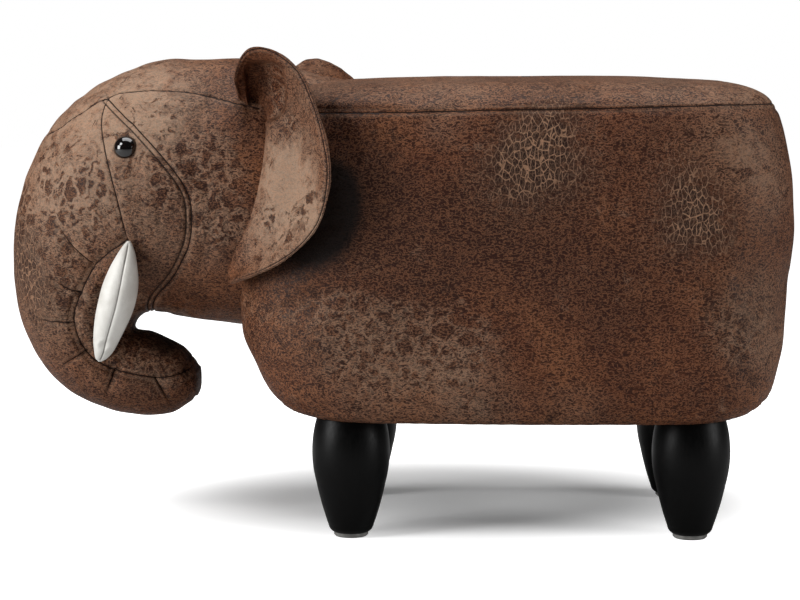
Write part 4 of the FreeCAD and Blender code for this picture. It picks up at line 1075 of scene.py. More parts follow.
@dataclass
class Ear:
    """A padded ear: blades from its sewn base to its rim, closed round the rim.

    Each blade's cross-section is a closed loop: out along the face, round the rim and
    back along the rear. The face is cupped as a parabola.

    Attributes:
        sunk: Share of a blade's length by which it is sunk in the head.
        rim_round: Share of a blade's length over which its rim is rounded.
        scoop_place: Middle of the hollow under the rolled corner, in the side view.
        lean: How far it leans back, in degrees.
        droop: How far its top is let down.
        blades: Base and rim of each blade in shares of depth, spread and height, and its
            cup and bulge in millimetres.
    """

    hand: Hand
    rows: int = 260
    columns: int = 180
    root: tuple[float, float] = (-119.9 * MM, 270 * MM)
    depth: float = 75 * MM
    spread: float = 168 * MM
    height: float = 110 * MM
    base_thickness: float = 10 * MM
    rim_thickness: float = 5.0 * MM
    rim_round: float = 0.07
    sunk: float = 0.10
    scoop_place: tuple[float, float] = (-97.0 * MM, 348.0 * MM)
    scoop_half: tuple[float, float] = (18.0 * MM, 24 * MM)
    scoop_depth: float = 14 * MM
    # Painted shade in the hollow: hollow_shade is added to the blotch mask there, growing towards its
    # rear across shade_band in x.
    hollow_shade: float = 0.4
    shade_band: tuple[float, float] = (-108 * MM, -92 * MM)
    stitch_inset: float = 2.2 * MM
    skin: Rows = ((0.45 * MM, 34 * MM, 31), (0.15 * MM, 12 * MM, 32))
    lean: float = 0.0
    droop: float = 0.0
    stretch: float = 1.0
    blades: Rows = (
        (0.00, 0.385, 0.620, -0.01, 0.500, 0.675, 2, 0),
        (0.07, 0.405, 0.620, -0.01, 0.655, 0.825, 3, 0),
        (0.16, 0.430, 0.580, 0.15, 0.785, 0.990, 4, 0),
        (0.27, 0.460, 0.535, 0.41, 0.870, 0.992, 4, 3),
        (0.33, 0.485, 0.440, 0.70, 0.930, 0.845, 3, 7),
        (0.31, 0.520, 0.295, 0.88, 0.975, 0.575, 4, 7),
        (0.28, 0.545, 0.150, 0.99, 1.000, 0.290, 4, 7),
        (0.22, 0.560, 0.000, 0.99, 1.000, 0.055, 4, 6),
        (0.15, 0.555, -0.145, 0.88, 0.970, -0.190, 4, 5),
        (0.07, 0.540, -0.300, 0.62, 0.905, -0.390, 3, 4),
        (-0.03, 0.500, -0.455, 0.29, 0.790, -0.530, 2, 3),
        (-0.12, 0.450, -0.605, -0.09, 0.610, -0.640, 1, 1),
    )
    # Paler patches on the face, partly wear and partly painted light on its lit face, below and right
    # of the hollow.
    pale_spots: Rows = (
        (-84, 295, 24, 1.2), (-80, 270, 26, 1.0), (-66, 258, 20, 1.0), (-95, 235, 30, 0.9),
        (-60, 310, 24, 0.3), (-66, 340, 14, 0.4), (-74, 362, 12, 0.4),
    )
    darker_spots: Rows = (
        (-100, 252, 10, 0.6), (-84, 222, 10, 0.5), (-78, 326, 9, 0.5), (-84, 240, 16, 0.5),
        (-62, 262, 13, 0.5), (-96, 300, 8, 0.4),
    )

    def build(self) -> tuple[Piece, list[Path]]:
        """The finished ear with its stitched rim and the puckers along it.

        Returns:
            The ear, and the path of the stitches along the rim of its face.
        """
        surface, out, from_rim, face = self.form()
        stitched = self._stitch_channel(surface, from_rim, face)
        flat = surface.points.reshape(-1, 3)
        height = SeamRelief(cut=0.5 * MM, cut_width=0.6 * MM, valley=0.6 * MM,
                            valley_width=1.6 * MM, pucker=0.2 * MM, pitch=4.6 * MM,
                            step=0.0).height(stitched.reshape(-1, 3))
        height += self._gathers(stitched, from_rim).reshape(-1)
        fade = smooth_step(out, 0.0, 0.25).reshape(-1)
        done = surface.raised((height + uneven(flat, self.skin) * fade).reshape(out.shape))
        done.channels = {"seam_a": stitched, "patina_and_painted_light": self._marks(done.points)}
        path = stitch_path(done.points.reshape(-1, 3), done.normals().reshape(-1, 3),
                           stitched.reshape(-1, 3), 0.0, face.reshape(-1) > 0)
        return done.build(f"ear_{self.hand.label}_cover"), [path]

    def form(self) -> tuple[Surface, Grid, Grid, Grid]:
        """The bare ear: base + blade * reach + normal * lift.

        The lift is half the thickness, to the point's own side, less the cup, a parabola
        over the blade, plus the bulge, a squared sine near its base.

        Returns:
            The surface, the share from base to rim, the distance from the rim and
            whether the point is on the face (1) or the rear (-1).
        """
        table = np.array(self.blades)
        shares = between_rows(table, even_places(table, [3, 4, 5], self.rows))
        base = self._spot(shares[:, :3])
        rim = self._spot(shares[:, 3:6])
        blade = rim - base
        length = np.linalg.norm(blade, axis=1)
        along = np.gradient((base + rim) / 2, axis=0)
        normal = np.cross(along, blade)
        normal /= np.linalg.norm(normal, axis=1, keepdims=True)
        loop = np.linspace(-1, 1, self.columns, endpoint=False)
        face = np.where(loop < 0, 1.0, -1.0)
        out = 1 - np.abs(loop)
        out = 1 - (1 - out) ** 1.25
        reach = -self.sunk + (1 + self.sunk) * out
        half = (self.base_thickness * (1 - out) + self.rim_thickness * out) / 2
        rounding = np.clip((out - (1 - self.rim_round)) / self.rim_round, 0, 1)
        half = half * np.sqrt(np.clip(1 - rounding ** 2, 0, 1))
        ends = self._end_closing()
        cup = shares[:, 6:7] * MM * 4 * out * (1 - out)
        bulge = shares[:, 7:8] * MM * np.sin(math.pi * np.clip(out / 0.6, 0, 1)) ** 2
        flat = base[:, None] + blade[:, None] * reach[None, :, None]
        lift = (face * half)[None, :] * ends[:, None] - cup + bulge
        points = flat + normal[:, None] * lift[:, :, None]
        points[..., 1] += self._scoop(flat)
        if self.hand is Hand.RIGHT:
            points = self._leant(points) * (1, -1, 1)
        shape = lift.shape
        from_rim = (1 - reach)[None, :] * length[:, None]
        return Surface(points), np.broadcast_to(out, shape), from_rim, np.broadcast_to(face, shape)

    def _gathers(self, stitched: Grid, from_rim: Grid) -> Grid:
        """Short folds square to the rim where the face is eased round its lower half.

        A cosine along the rim, strongest 6 mm inside it and only on the lower rows.

        Args:
            stitched: Distance, run and presence of the stitch line.
            from_rim: Distance from the rim.

        Returns:
            The height per grid point.
        """
        run = stitched[..., 1]
        wander = 2.0 * np.sin(run * 2 * math.pi / (29 * MM))
        low = smooth_step(np.linspace(0, 1, self.rows), 0.42, 0.58)[:, None]
        folds = np.cos(run * 2 * math.pi / (4.8 * MM) + wander)
        return 0.45 * MM * folds * bell(from_rim - 6 * MM, 4.5 * MM) * low

    def _scoop(self, points: Grid) -> Grid:
        """Depth of the hollow under the rolled front corner.

        Level inside an oblong oval of the side view, with a steep side. Its edge is where
        the fourth powers of the shares of its half sizes add up to one.

        Args:
            points: Array ending in x, y, z.

        Returns:
            The depth per point.
        """
        across = (points[..., 0] - self.scoop_place[0]) / self.scoop_half[0]
        up = (points[..., 2] - self.scoop_place[1]) / self.scoop_half[1]
        reach = (across ** 4 + up ** 4) ** 0.25
        return self.scoop_depth * (1 - smooth_step(reach, 0.84, 1.0))

    def _leant(self, points: Grid) -> Grid:
        """The ear turned back about its root in the side view and let down a little.

        Args:
            points: Array ending in x, y, z.

        Returns:
            The turned points.
        """
        turn = math.radians(self.lean)
        turned = points.copy()
        across = (points[..., 0] - self.root[0]) * self.stretch
        up = points[..., 2] - self.root[1]
        turned[..., 0] = self.root[0] + across * math.cos(turn) + up * math.sin(turn)
        turned[..., 2] = self.root[1] - across * math.sin(turn) + up * math.cos(turn)
        turned[..., 2] -= self.droop * smooth_step(up, 0, self.height)
        return turned

    def _spot(self, shares: Grid) -> Grid:
        """Points of the left ear from shares of depth, spread and height."""
        return np.stack([self.root[0] + shares[:, 0] * self.depth, -shares[:, 1] * self.spread,
                         self.root[1] + shares[:, 2] * self.height], axis=1)

    def _end_closing(self) -> Grid:
        """Thickness share of each row, falling along a quarter circle at both ends."""
        share = np.linspace(0, 1, self.rows)
        return np.sqrt(1 - (1 - np.clip(np.minimum(share, 1 - share) / 0.03, 0.02, 1)) ** 2)

    def _stitch_channel(self, surface: Surface, from_rim: Grid, face: Grid) -> Grid:
        """The stitch line just inside the rim, as a channel.

        Args:
            surface: The bare ear.
            from_rim: Distance from the rim.
            face: 1 on the face and -1 on the rear.

        Returns:
            Signed distance, run and presence per grid point.
        """
        steps = np.linalg.norm(np.diff(surface.points, axis=0, prepend=surface.points[:1]), axis=2)
        run = np.cumsum(steps[:, self.columns // 2])[:, None] * np.ones_like(from_rim)
        distance = from_rim - self.stitch_inset
        presence = 1 - smooth_step(np.abs(distance), 4 * MM, 7 * MM)
        return np.stack([distance * face, run, presence], axis=-1)

    def _marks(self, points: Grid) -> Grid:
        """The three masks, with painted shade in the hollow: never pale there, and darker towards its
        rear.

        Args:
            points: Array ending in x, y, z.

        Returns:
            The masks as the last axis.
        """
        marks = patina_and_painted_light(points, (self.pale_spots, (), self.darker_spots))
        hollow = self._scoop(points) / self.scoop_depth
        marks[..., 0] *= 1 - hollow
        marks[..., 2] += self.hollow_shade * hollow * smooth_step(points[..., 0], *self.shade_band)
        return marks


@dataclass
class Tusk:
    """A stuffed tusk: level ovals from its root to its tip, sewn down both sides.

    Attributes:
        lean: How many times further forward it leans than the sections say.
        pinch_drop: How far below the root the dimple is.
        sections: Middle of each oval as shares of the length, then its half sizes.
    """

    hand: Hand
    rows: int = 150
    columns: int = 96
    root: tuple[float, float, float] = (-205.4 * MM, -93 * MM, 231.6 * MM)
    length: float = 95 * MM
    lean: float = 1.15
    width: float = 29.2 * MM
    seam_turn: float = -1.45
    pinch_drop: float = 81 * MM
    sections: Rows = (
        (0.000, 0.000, 0.000, 0.10, 0.10),
        (0.008, -0.003, 0.040, 0.27, 0.22),
        (0.020, -0.005, 0.114, 0.50, 0.42),
        (0.040, -0.005, 0.219, 0.74, 0.66),
        (0.064, 0.000, 0.358, 0.95, 0.90),
        (0.093, 0.010, 0.504, 1.00, 1.00),
        (0.128, 0.021, 0.644, 0.93, 0.94),
        (0.169, 0.042, 0.794, 0.74, 0.76),
        (0.196, 0.063, 0.908, 0.53, 0.55),
        (0.216, 0.073, 0.970, 0.33, 0.34),
        (0.228, 0.078, 1.000, 0.10, 0.10),
    )

    def build(self) -> Piece:
        """The finished tusk: ovals centre + x * half depth * cos + y * half width * sin.

        Returns:
            The tusk.
        """
        table = np.array(self.sections)
        shares = between_rows(table, even_places(table, [2, 3], self.rows))
        centre = np.stack([self.root[0] - shares[:, 0] * self.length * self.lean,
                           self.root[1] + shares[:, 1] * self.length,
                           self.root[2] - shares[:, 2] * self.length], axis=1)
        turn = np.linspace(0, 2 * math.pi, self.columns, endpoint=False)
        half = self.width / 2
        depth = np.maximum(shares[:, 3:4], 0.04) * half * np.cos(turn)
        wide = np.maximum(shares[:, 4:5], 0.04) * half * np.sin(turn)
        points = np.stack([centre[:, :1] + depth, centre[:, 1:2] + wide,
                           centre[:, 2:] + 0 * depth], axis=-1)
        if self.hand is Hand.RIGHT:
            points = points * (1, -1, 1)
        surface = Surface(points)
        seams = self._seams(shares, turn, half)
        height = np.zeros(points.shape[:2])
        relief = SeamRelief(cut=0.7 * MM, cut_width=0.7 * MM, valley=0.6 * MM,
                            valley_width=2.5 * MM, pucker=0.10 * MM, pitch=3.4 * MM, step=0.0)
        for seam in seams:
            height += relief.height(seam.reshape(-1, 3)).reshape(height.shape)
        height += self._pinch(points)
        done = surface.raised(height)
        done.channels = {"seam_a": seams[0], "seam_c": seams[1]}
        return done.build(f"tusk_{self.hand.label}_cover")

    def _seams(self, shares: Grid, turn: Grid, half: float) -> list[Grid]:
        """The outer and inner seams, as arc lengths from their own turn of the oval.

        Args:
            shares: The table's rows.
            turn: Turn of each column round its oval.
            half: Half the tusk's width.

        Returns:
            Signed distance, run and presence per grid point, for each seam.
        """
        found = []
        for seam_turn in (self.seam_turn, self.seam_turn + math.pi):
            gap = (turn - seam_turn + math.pi) % (2 * math.pi) - math.pi
            radius = (shares[:, 3:4] + shares[:, 4:5]) / 2 * half
            distance = gap[None, :] * radius
            run = shares[:, 2:3] * self.length * np.ones_like(distance)
            presence = 1 - smooth_step(np.abs(distance), 4 * MM, 6 * MM)
            presence = presence * smooth_step(radius, 1.5 * MM, 4 * MM)
            found.append(np.stack([distance, run, presence], axis=-1))
        return found

    def _pinch(self, points: Grid) -> Grid:
        """The small dimple where the outer seam was closed by hand.

        Args:
            points: Array ending in x, y, z.

        Returns:
            Minus a bell, plus a lower one in a ring round it.
        """
        below = self.root[2] - points[..., 2] - self.pinch_drop
        across = points[..., 0] - points[..., 0].mean(axis=1, keepdims=True)
        outer = points[..., 1] * self.hand.value > abs(self.root[1])
        gap = np.hypot(below, across) + (~outer) * self.length
        return -1.1 * MM * bell(gap, 3.0 * MM) + 0.5 * MM * bell(gap - 5 * MM, 2.0 * MM)


def stitch_path(points: Grid, normals: Grid, seam: Grid, offset: float,
                chosen: NDArray[np.bool_]) -> tuple[Grid, Grid]:
    """A path on a cover at a steady distance from a sewn line.

    The points near that distance are gathered in short steps of the run. In each step
    the point is the mean point plus its slope over distance times the distance left.

    Args:
        points: Points of the cover as rows of x, y, z.
        normals: Their unit normals.
        seam: Rows of signed distance, run and presence.
        offset: Signed distance of the path.
        chosen: Which points may be used.

    Returns:
        Points and normals along the path.
    """
    gap = seam[:, 0] - offset
    weight = bell(gap, 1.4 * MM) * seam[:, 2] * chosen
    kept = weight > 0.05
    weight, gap = weight[kept], gap[kept]
    step = (seam[kept, 1] / (3 * MM)).astype(int)
    total = np.bincount(step, weight)
    found = total > 0.5

    def mean(values: Grid) -> Grid:
        """Weighted mean of some values in each step."""
        return np.bincount(step, weight * values)[found] / total[found]

    middle = mean(gap)
    spread = mean(gap * gap) - middle ** 2 + 1e-9
    places = []
    for axis in range(3):
        value = points[kept, axis]
        slope = (mean(gap * value) - middle * mean(value)) / spread
        places.append(mean(value) - slope * middle)
    ups = np.stack([mean(normals[kept, axis]) for axis in range(3)], axis=1)
    return np.stack(places, axis=1), ups / np.linalg.norm(ups, axis=1, keepdims=True)


@dataclass
class Stitching:
    """A row of thread stitches laid along a path on a cover.

    Attributes:
        end_turn: Polar turn of the flat ends of a stitch.
    """

    length: float = 2.6 * MM
    gap: float = 1.2 * MM
    thickness: float = 0.55 * MM
    rings: int = 7
    sides: int = 6
    end_turn: float = 0.12

    def build(self, name: str, paths: list[Path]) -> Piece:
        """One mesh of all stitches along some paths.

        Each stitch is a long round bead, half sunk in the cover: along * length * cos,
        plus side and up * thickness * sin.

        Args:
            name: Name of the piece.
            paths: Pairs of points and normals.

        Returns:
            The new object.
        """
        vertices, faces, count = [], [], 0
        template, quads = self._bead()
        for points, normals in paths:
            centres, tangents, ups = self._places(points, normals)
            sides = np.cross(tangents, ups)
            beads = (centres[:, None] + tangents[:, None] * template[None, :, :1]
                     + sides[:, None] * template[None, :, 1:2] + ups[:, None] * template[None, :, 2:])
            vertices.append(beads.reshape(-1, 3))
            offsets = count + np.arange(len(centres))[:, None, None] * len(template)
            faces.append((quads[None] + offsets).reshape(-1, 4))
            count += len(centres) * len(template)
        empty = np.zeros((0, 3), int)
        return mesh_piece(name, np.vstack(vertices), np.vstack(faces), empty, True)

    def _bead(self) -> tuple[Grid, NDArray[np.int64]]:
        """One stitch about the origin, in rings of points round its length.

        Returns:
            Its vertices and its faces.
        """
        rings, sides = self.rings, self.sides
        polar = np.linspace(self.end_turn, math.pi - self.end_turn, rings)
        turn = np.linspace(0, 2 * math.pi, sides, endpoint=False)
        along = np.cos(polar)[:, None] * np.ones(sides) * self.length / 2
        wide = np.sin(polar)[:, None] ** 0.6 * self.thickness / 2
        points = np.stack([along, wide * np.cos(turn), wide * np.sin(turn)], axis=-1)
        ring, side = np.meshgrid(np.arange(rings - 1), np.arange(sides), indexing="ij")
        after = (side + 1) % sides
        quads = np.stack([ring * sides + side, (ring + 1) * sides + side,
                          (ring + 1) * sides + after, ring * sides + after], axis=-1)
        cap = np.array([[0, 1, 2, 3], [0, 3, 4, 5]])
        end = (rings - 1) * sides + np.array([[3, 2, 1, 0], [5, 4, 3, 0]])
        return points.reshape(-1, 3), np.vstack([quads.reshape(-1, 4), cap, end])

    def _places(self, points: Grid, normals: Grid) -> tuple[Grid, Grid, Grid]:
        """Where the stitches lie, evenly spaced along the path.

        Args:
            points: Points along the path.
            normals: Normals along it.

        Returns:
            Centre, direction and up of each stitch.
        """
        steps = np.linalg.norm(np.diff(points, axis=0), axis=1)
        run = np.concatenate([[0.0], np.cumsum(steps)])
        pitch = self.length + self.gap
        spots = np.arange(pitch / 2, run[-1], pitch)

        def read(values: Grid, places: Grid) -> Grid:
            """Values along the path at some places of its run."""
            return np.stack([np.interp(places, run, column) for column in values.T], axis=1)

        centres, ups = read(points, spots), read(normals, spots)
        ups /= np.linalg.norm(ups, axis=1, keepdims=True)
        ahead = read(points, spots + 0.5 * MM) - centres
        tangents = ahead / (np.linalg.norm(ahead, axis=1, keepdims=True) + 1e-9)
        tangents -= ups * (tangents * ups).sum(axis=1, keepdims=True)
        return centres, tangents, ups


def linear(colour: str) -> tuple[float, float, float, float]:
    """An sRGB hex colour as linear red, green, blue and alpha.

    Args:
        colour: A hash sign and six hex digits.

    Returns:
        The parts by the sRGB curve, and an alpha of one.
    """
    parts = [int(colour[place:place + 2], 16) / 255 for place in (1, 3, 5)]
    values = [part / 12.92 if part <= 0.04045 else ((part + 0.055) / 1.055) ** 2.4 for part in parts]
    return values[0], values[1], values[2], 1.0


# Settings that many nodes share: a product, the larger of two, a multiply and add, an
# absolute value, a range eased at both ends, and a mix of two colours with its output.
TIMES = {"operation": "MULTIPLY"}
LARGER = {"operation": "MAXIMUM"}
TIMES_PLUS = {"operation": "MULTIPLY_ADD"}
UNSIGNED = {"operation": "ABSOLUTE"}
EASED = {"interpolation_type": "SMOOTHSTEP"}
MIXED = {"data_type": "RGBA", "output": 2}


def add_node(tree: bpy.types.NodeTree, kind: str, sockets: Any = (), **options: Any) -> bpy.types.Node:
    """Adds a node with its settings, socket values and links.

    Args:
        tree: The node tree.
        kind: The node's type, without the word ShaderNode that starts each of them.
        sockets: Values, hex colours or linked outputs, as a dictionary by input name or
            number, or as a tuple in the inputs' order.
        **options: Settings of the node itself.

    Returns:
        The new node.
    """
    node = tree.nodes.new("ShaderNode" + kind)
    for name, value in options.items():
        setattr(node, name, value)
    for name, value in sockets.items() if isinstance(sockets, dict) else enumerate(sockets):
        if isinstance(value, Socket):
            tree.links.new(value, node.inputs[name])
        else:
            node.inputs[name].default_value = linear(value) if isinstance(value, str) else value
    return node


class Finish:
    """A material with its tree, its surface shader and the point on the object."""

    def __init__(self, name: str) -> None:
        """Starts a material with its shader and output.

        Args:
            name: What the real material is.
        """
        self.material = bpy.data.materials.new(name)
        self.material.use_nodes = True
        self.tree = self.material.node_tree
        self.tree.nodes.clear()
        self.shader = add_node(self.tree, "BsdfPrincipled")
        add_node(self.tree, "OutputMaterial", {"Surface": self.shader.outputs["BSDF"]})
        self.place = self.add("TexCoord", output="Object")

    def add(self, kind: str, sockets: Any = (), output: int | str = 0, **options: Any) -> Socket:
        """Adds a node; a texture that is given no Vector reads the point on the object.

        Args:
            kind: As add_node has it, like the sockets and the options.
            sockets: Values or linked outputs.
            output: Name or number of the output that is wanted.
            **options: Settings of the node itself.

        Returns:
            The output.
        """
        if kind.startswith("Tex") and isinstance(sockets, dict):
            sockets = {"Vector": self.place} | sockets
        return add_node(self.tree, kind, sockets, **options).outputs[output]

    def between(self, pattern: Any, low: float, high: float, first: Any, second: Any,
                most: float = 1.0) -> Socket:
        """From one colour to most of another, as a pattern goes from low to high."""
        share = self.add("MapRange", (pattern, low, high, 0.0, most), **EASED)
        return self.add("Mix", {0: share, 6: first, 7: second}, **MIXED)

    def lay(self, mask: Any, share: float, below: Any, above: Any) -> Socket:
        """A colour laid over another by a mask times a share."""
        amount = self.add("Math", (mask, share), **TIMES)
        return self.add("Mix", {0: amount, 6: below, 7: above}, **MIXED)

    def line(self, distance: Any, presence: Any, outer: float, inner: float) -> Socket:
        """A soft band by a sewn line: 0 at the outer distance, 1 at the inner and past it."""
        away = self.add("MapRange", (self.add("Math", (distance,), **UNSIGNED), outer, inner),
                        **EASED)
        return self.add("Math", (away, presence), **TIMES)

    def bump(self, *heights: tuple[Any, float]) -> None:
        """Adds up patterns, each times its height, as the surface's bump.

        Args:
            *heights: Pairs of a pattern and its height in metres.
        """
        total: Any = 0.0
        for pattern, height in heights:
            total = self.add("Math", (pattern, height, total), **TIMES_PLUS)
        self.set(Normal=self.add("Bump", {"Height": total, "Strength": 1.0, "Distance": 1.0}))

    def set(self, **values: Any) -> None:
        """Sets or links the shader's sockets.

        Args:
            **values: Numbers, hex colours or outputs, by names with underscores for spaces.
        """
        for name, value in values.items():
            socket = self.shader.inputs[name.replace("_", " ")]
            if isinstance(value, Socket):
                self.tree.links.new(value, socket)
            else:
                socket.default_value = linear(value) if isinstance(value, str) else value

    def channel(self, name: str) -> tuple[Socket, ...]:
        """The three parts of a channel kept on the mesh."""
        vector = self.add("Attribute", output="Vector", attribute_name=name)
        return tuple(add_node(self.tree, "SeparateXYZ", (vector,)).outputs)

    def dress(self, piece: Piece) -> None:
        """Makes this the piece's only material."""
        piece.data.materials.clear()
        piece.data.materials.append(self.material)


@dataclass(frozen=True)
class VintageLeather:
    """Printed and waxed leather cloth: pebbled, with pale places bared by wear and dark cracks.

    The wax gives a soft sheen on the high grain, and rubbing bares a dry, paler brown. The masks also
    paint light: highlight and, below zero, shade in the pale mask, and near-black shade in the blotch
    mask past 1.2.

    Attributes:
        grain: Size of one pebble.
        crackle: Size of one plate between pale cracks, where the print has crackled.
        plates: Size of one plate between the pale splits of a dark island.
        topstitch: Distance of the cheek's topstitching from its seam.
    """

    grain: float = 2.0 * MM
    crackle: float = 5.0 * MM
    plates: float = 13 * MM
    pit: str = "#281006"
    # Near-black painted shade, laid where the blotch mask passes 1.2.
    painted_shade: str = "#0c0402"
    plate: str = "#1c0b05"
    dark: str = "#2b1106"
    middle: str = "#5b2f18"
    light: str = "#8a5736"
    # The colour of bared leather, also laid by the pale mask as a painted highlight.
    rubbed_and_highlight: str = "#a68b75"
    vein: str = "#a07a5f"
    ridge: str = "#946344"
    thread_shade: str = "#1a0c06"
    topstitch: float = 4.2 * MM

    def build(self) -> Finish:
        """Builds the material in layers, from the clouded print up to the seams' shade.

        Returns:
            The material.
        """
        finish = Finish("vintage_leather_cloth")
        add = finish.add
        found = self._patterns(finish)
        colour, worn_and_highlight = self._worn(finish, found["pale"])
        colour = self._islands(finish, colour, found)
        colour, veins, reach = self._crackled(finish, colour, found)
        colour = self._grained(finish, colour, found, worn_and_highlight, reach)
        # Painted shade: past 1.2 the blotch mask lays a near-black shade, for the ear's shadow on the
        # body and the shade under the head on the inner trunk.
        colour = finish.between(found["blotched_and_shade"], 1.2, 1.95, colour, self.painted_shade, 0.93)
        line, ridge = self._seam_marks(finish)
        colour = finish.lay(ridge, 0.12, colour, self.rubbed_and_highlight)
        colour = finish.lay(line, 1.0, colour, self.thread_shade)
        rough = add("MapRange", (found["fine"], 0.3, 0.7, 0.46, 0.60), **EASED)
        rough = add("Math", (worn_and_highlight, 0.10, rough), **TIMES_PLUS)
        finish.set(Base_Color=colour, Roughness=rough, Specular_IOR_Level=0.19)
        finish.bump((found["pebble"], -0.20 * MM), (found["fine"], 0.22 * MM),
                    (found["creases"], 0.55 * MM), (veins, 0.16 * MM), (line, -0.5 * MM))
        return finish

    def _patterns(self, finish: Finish) -> dict[str, Socket]:
        """The leather's patterns and masks by name.

        The grain is drawn long and the plates tall, on points shifted by a noise. Pebbles
        are where a noise is far from its middle value, and pits where it is near it.

        Args:
            finish: The material that is drawn.

        Returns:
            Outputs of the patterns and of the three masks kept on the mesh.
        """
        add = finish.add
        found = dict(zip(("pale", "cracked", "blotched_and_shade"), finish.channel("patina_and_painted_light")))
        warp = add("TexNoise", {"Scale": 1 / (9 * MM), "Detail": 2.0}, "Color")
        shifted, bent = (add("VectorMath", (warp, (shift, shift, shift), finish.place),
                             **TIMES_PLUS) for shift in (3.5 * MM, 18 * MM))
        long_grain, tall_plates = (add("Mapping", {"Vector": shifted, "Scale": stretch})
                                   for stretch in ((0.66, 0.85, 1.2), (1.35, 1.0, 0.70)))
        for name, size, detail, roughness in (("folds", 1.1 * self.grain, 3.0, 0.55),
                                              ("fine", 2.6 * MM, 4.0, 0.65),
                                              ("creases", 7 * MM, 6.0, 0.66)):
            found[name] = add("TexNoise", {"Vector": long_grain, "Scale": 1 / size,
                                           "Detail": detail, "Roughness": roughness})
        for name, place, size in (("edge", tall_plates, self.crackle),
                                  ("small_edge", tall_plates, self.crackle * 0.45),
                                  ("plates", bent, self.plates)):
            found[name] = add("TexVoronoi", {"Vector": place, "Scale": 1 / size}, "Distance",
                              feature="DISTANCE_TO_EDGE")
        from_middle = add("Math", (found["folds"], 0.5), operation="SUBTRACT")
        from_middle = add("Math", (from_middle,), **UNSIGNED)
        found["pebble"] = add("MapRange", (from_middle, 0.015, 0.085), **EASED)
        return found

    def _worn(self, finish: Finish, pale: Any) -> tuple[Any, Any]:
        """The clouded print, its places bared by wear, and its painted highlights and shade.

        Args:
            finish: The material that is drawn.
            pale: Mask of the pale places, wear and painted highlight; below zero it paints shade in
                the dark colour.

        Returns:
            The colour and the mask of all that is paler, by wear and by painted highlight.
        """
        add = finish.add
        clouds, mottled, drift = (add("TexNoise", {"Scale": 1 / size, "Detail": detail,
                             "Roughness": roughness, "Distortion": distortion})
            for size, detail, roughness, distortion in (
                (75 * MM, 6.0, 0.62, 0.0), (13 * MM, 8.0, 0.72, 0.6), (34 * MM, 5.0, 0.6, 0.0)))
        ramp = add_node(finish.tree, "ValToRGB", (clouds,))
        stops = ramp.color_ramp.elements
        stops.new(0.5)
        colours = ((0.28, self.dark), (0.50, self.middle), (0.74, self.light))
        for stop, (stop_place, stop_colour) in zip(stops, colours):
            stop.position, stop.color = stop_place, linear(stop_colour)
        # Painted shade: below zero the pale mask darkens the print towards the dark colour.
        colour = finish.between(pale, 0.0, -1.0, ramp.outputs["Color"], self.dark, 0.85)
        patchy = add("MapRange", (mottled, 0.30, 0.62, 0.35, 1.0), **EASED)
        # Pale patches lay the bared colour: wear, and painted highlight where they sit on lit places.
        rub_and_highlight = add("Math", (pale, patchy), **TIMES)
        flecks = add("MapRange", (mottled, 0.50, 0.64), **EASED)
        drift = add("MapRange", (drift, 0.52, 0.68), **EASED)
        smears = add("Math", (add("Math", (flecks, drift), **TIMES), 0.55), **TIMES)
        worn_and_highlight = add("Math", (rub_and_highlight, smears), **LARGER)
        return finish.lay(worn_and_highlight, 0.85, colour, self.rubbed_and_highlight), worn_and_highlight

    def _islands(self, finish: Finish, colour: Any, found: dict[str, Any]) -> Any:
        """Dark islands of print left in blotchy places, with pale splits through them.

        Args:
            finish: The material that is drawn.
            colour: The colour below.
            found: The patterns by name.

        Returns:
            The colour with them.
        """
        add, blotched_and_shade = finish.add, found["blotched_and_shade"]
        islands = add("TexNoise", {"Scale": 1 / (19 * MM),
                                   "Detail": 8.0, "Roughness": 0.7, "Distortion": 0.8})
        spread = add("Math", (blotched_and_shade, 0.25, islands), **TIMES_PLUS)
        split = add("Math", (add("MapRange", (found["plates"], 0.22, 0.03), **EASED),
                             add("MapRange", (blotched_and_shade, 0.1, 0.5), **EASED)), **TIMES)
        near = add("MapRange", (spread, 0.52, 0.62, 0.0, 0.5), **EASED)
        veins = add("Math", (split, near), **TIMES)
        # No pale splits inside the painted shade, where the pale mask is below zero.
        lit = add("MapRange", (found["pale"], -0.3, 0.0), **EASED)
        veins = add("Math", (veins, lit), **TIMES)
        colour = finish.lay(veins, 1.0, colour, self.rubbed_and_highlight)
        covered = add("Math", (add("MapRange", (spread, 0.60, 0.65), **EASED),
                               add("MapRange", (split, 0.0, 1.0, 0.9, 0.05), **EASED)), **TIMES)
        return finish.lay(covered, 1.0, colour, self.dark)

    def _crackled(self, finish: Finish, colour: Any, found: dict[str, Any]) -> tuple[Any, ...]:
        """Dark plates parted by a net of pale cracks, with a finer net inside it.

        Args:
            finish: The material that is drawn.
            colour: The colour below.
            found: The patterns by name.

        Returns:
            The colour, the mask of the cracks and the mask of the crackled places.
        """
        add = finish.add
        patchy = add("MapRange", (found["creases"], 0.35, 0.55, 0.5, 1.0), **EASED)
        reach = add("Math", (found["cracked"], patchy), **TIMES)
        large = add("MapRange", (found["edge"], 0.085, 0.03), **EASED)
        small = add("MapRange", (found["small_edge"], 0.12, 0.04), **EASED)
        net = add("Math", (large, add("Math", (small, 0.3), **TIMES)), **LARGER)
        veins = add("Math", (net, reach), **TIMES)
        colour = finish.lay(reach, 0.85, colour, self.plate)
        return finish.lay(veins, 0.8, colour, self.vein), veins, reach

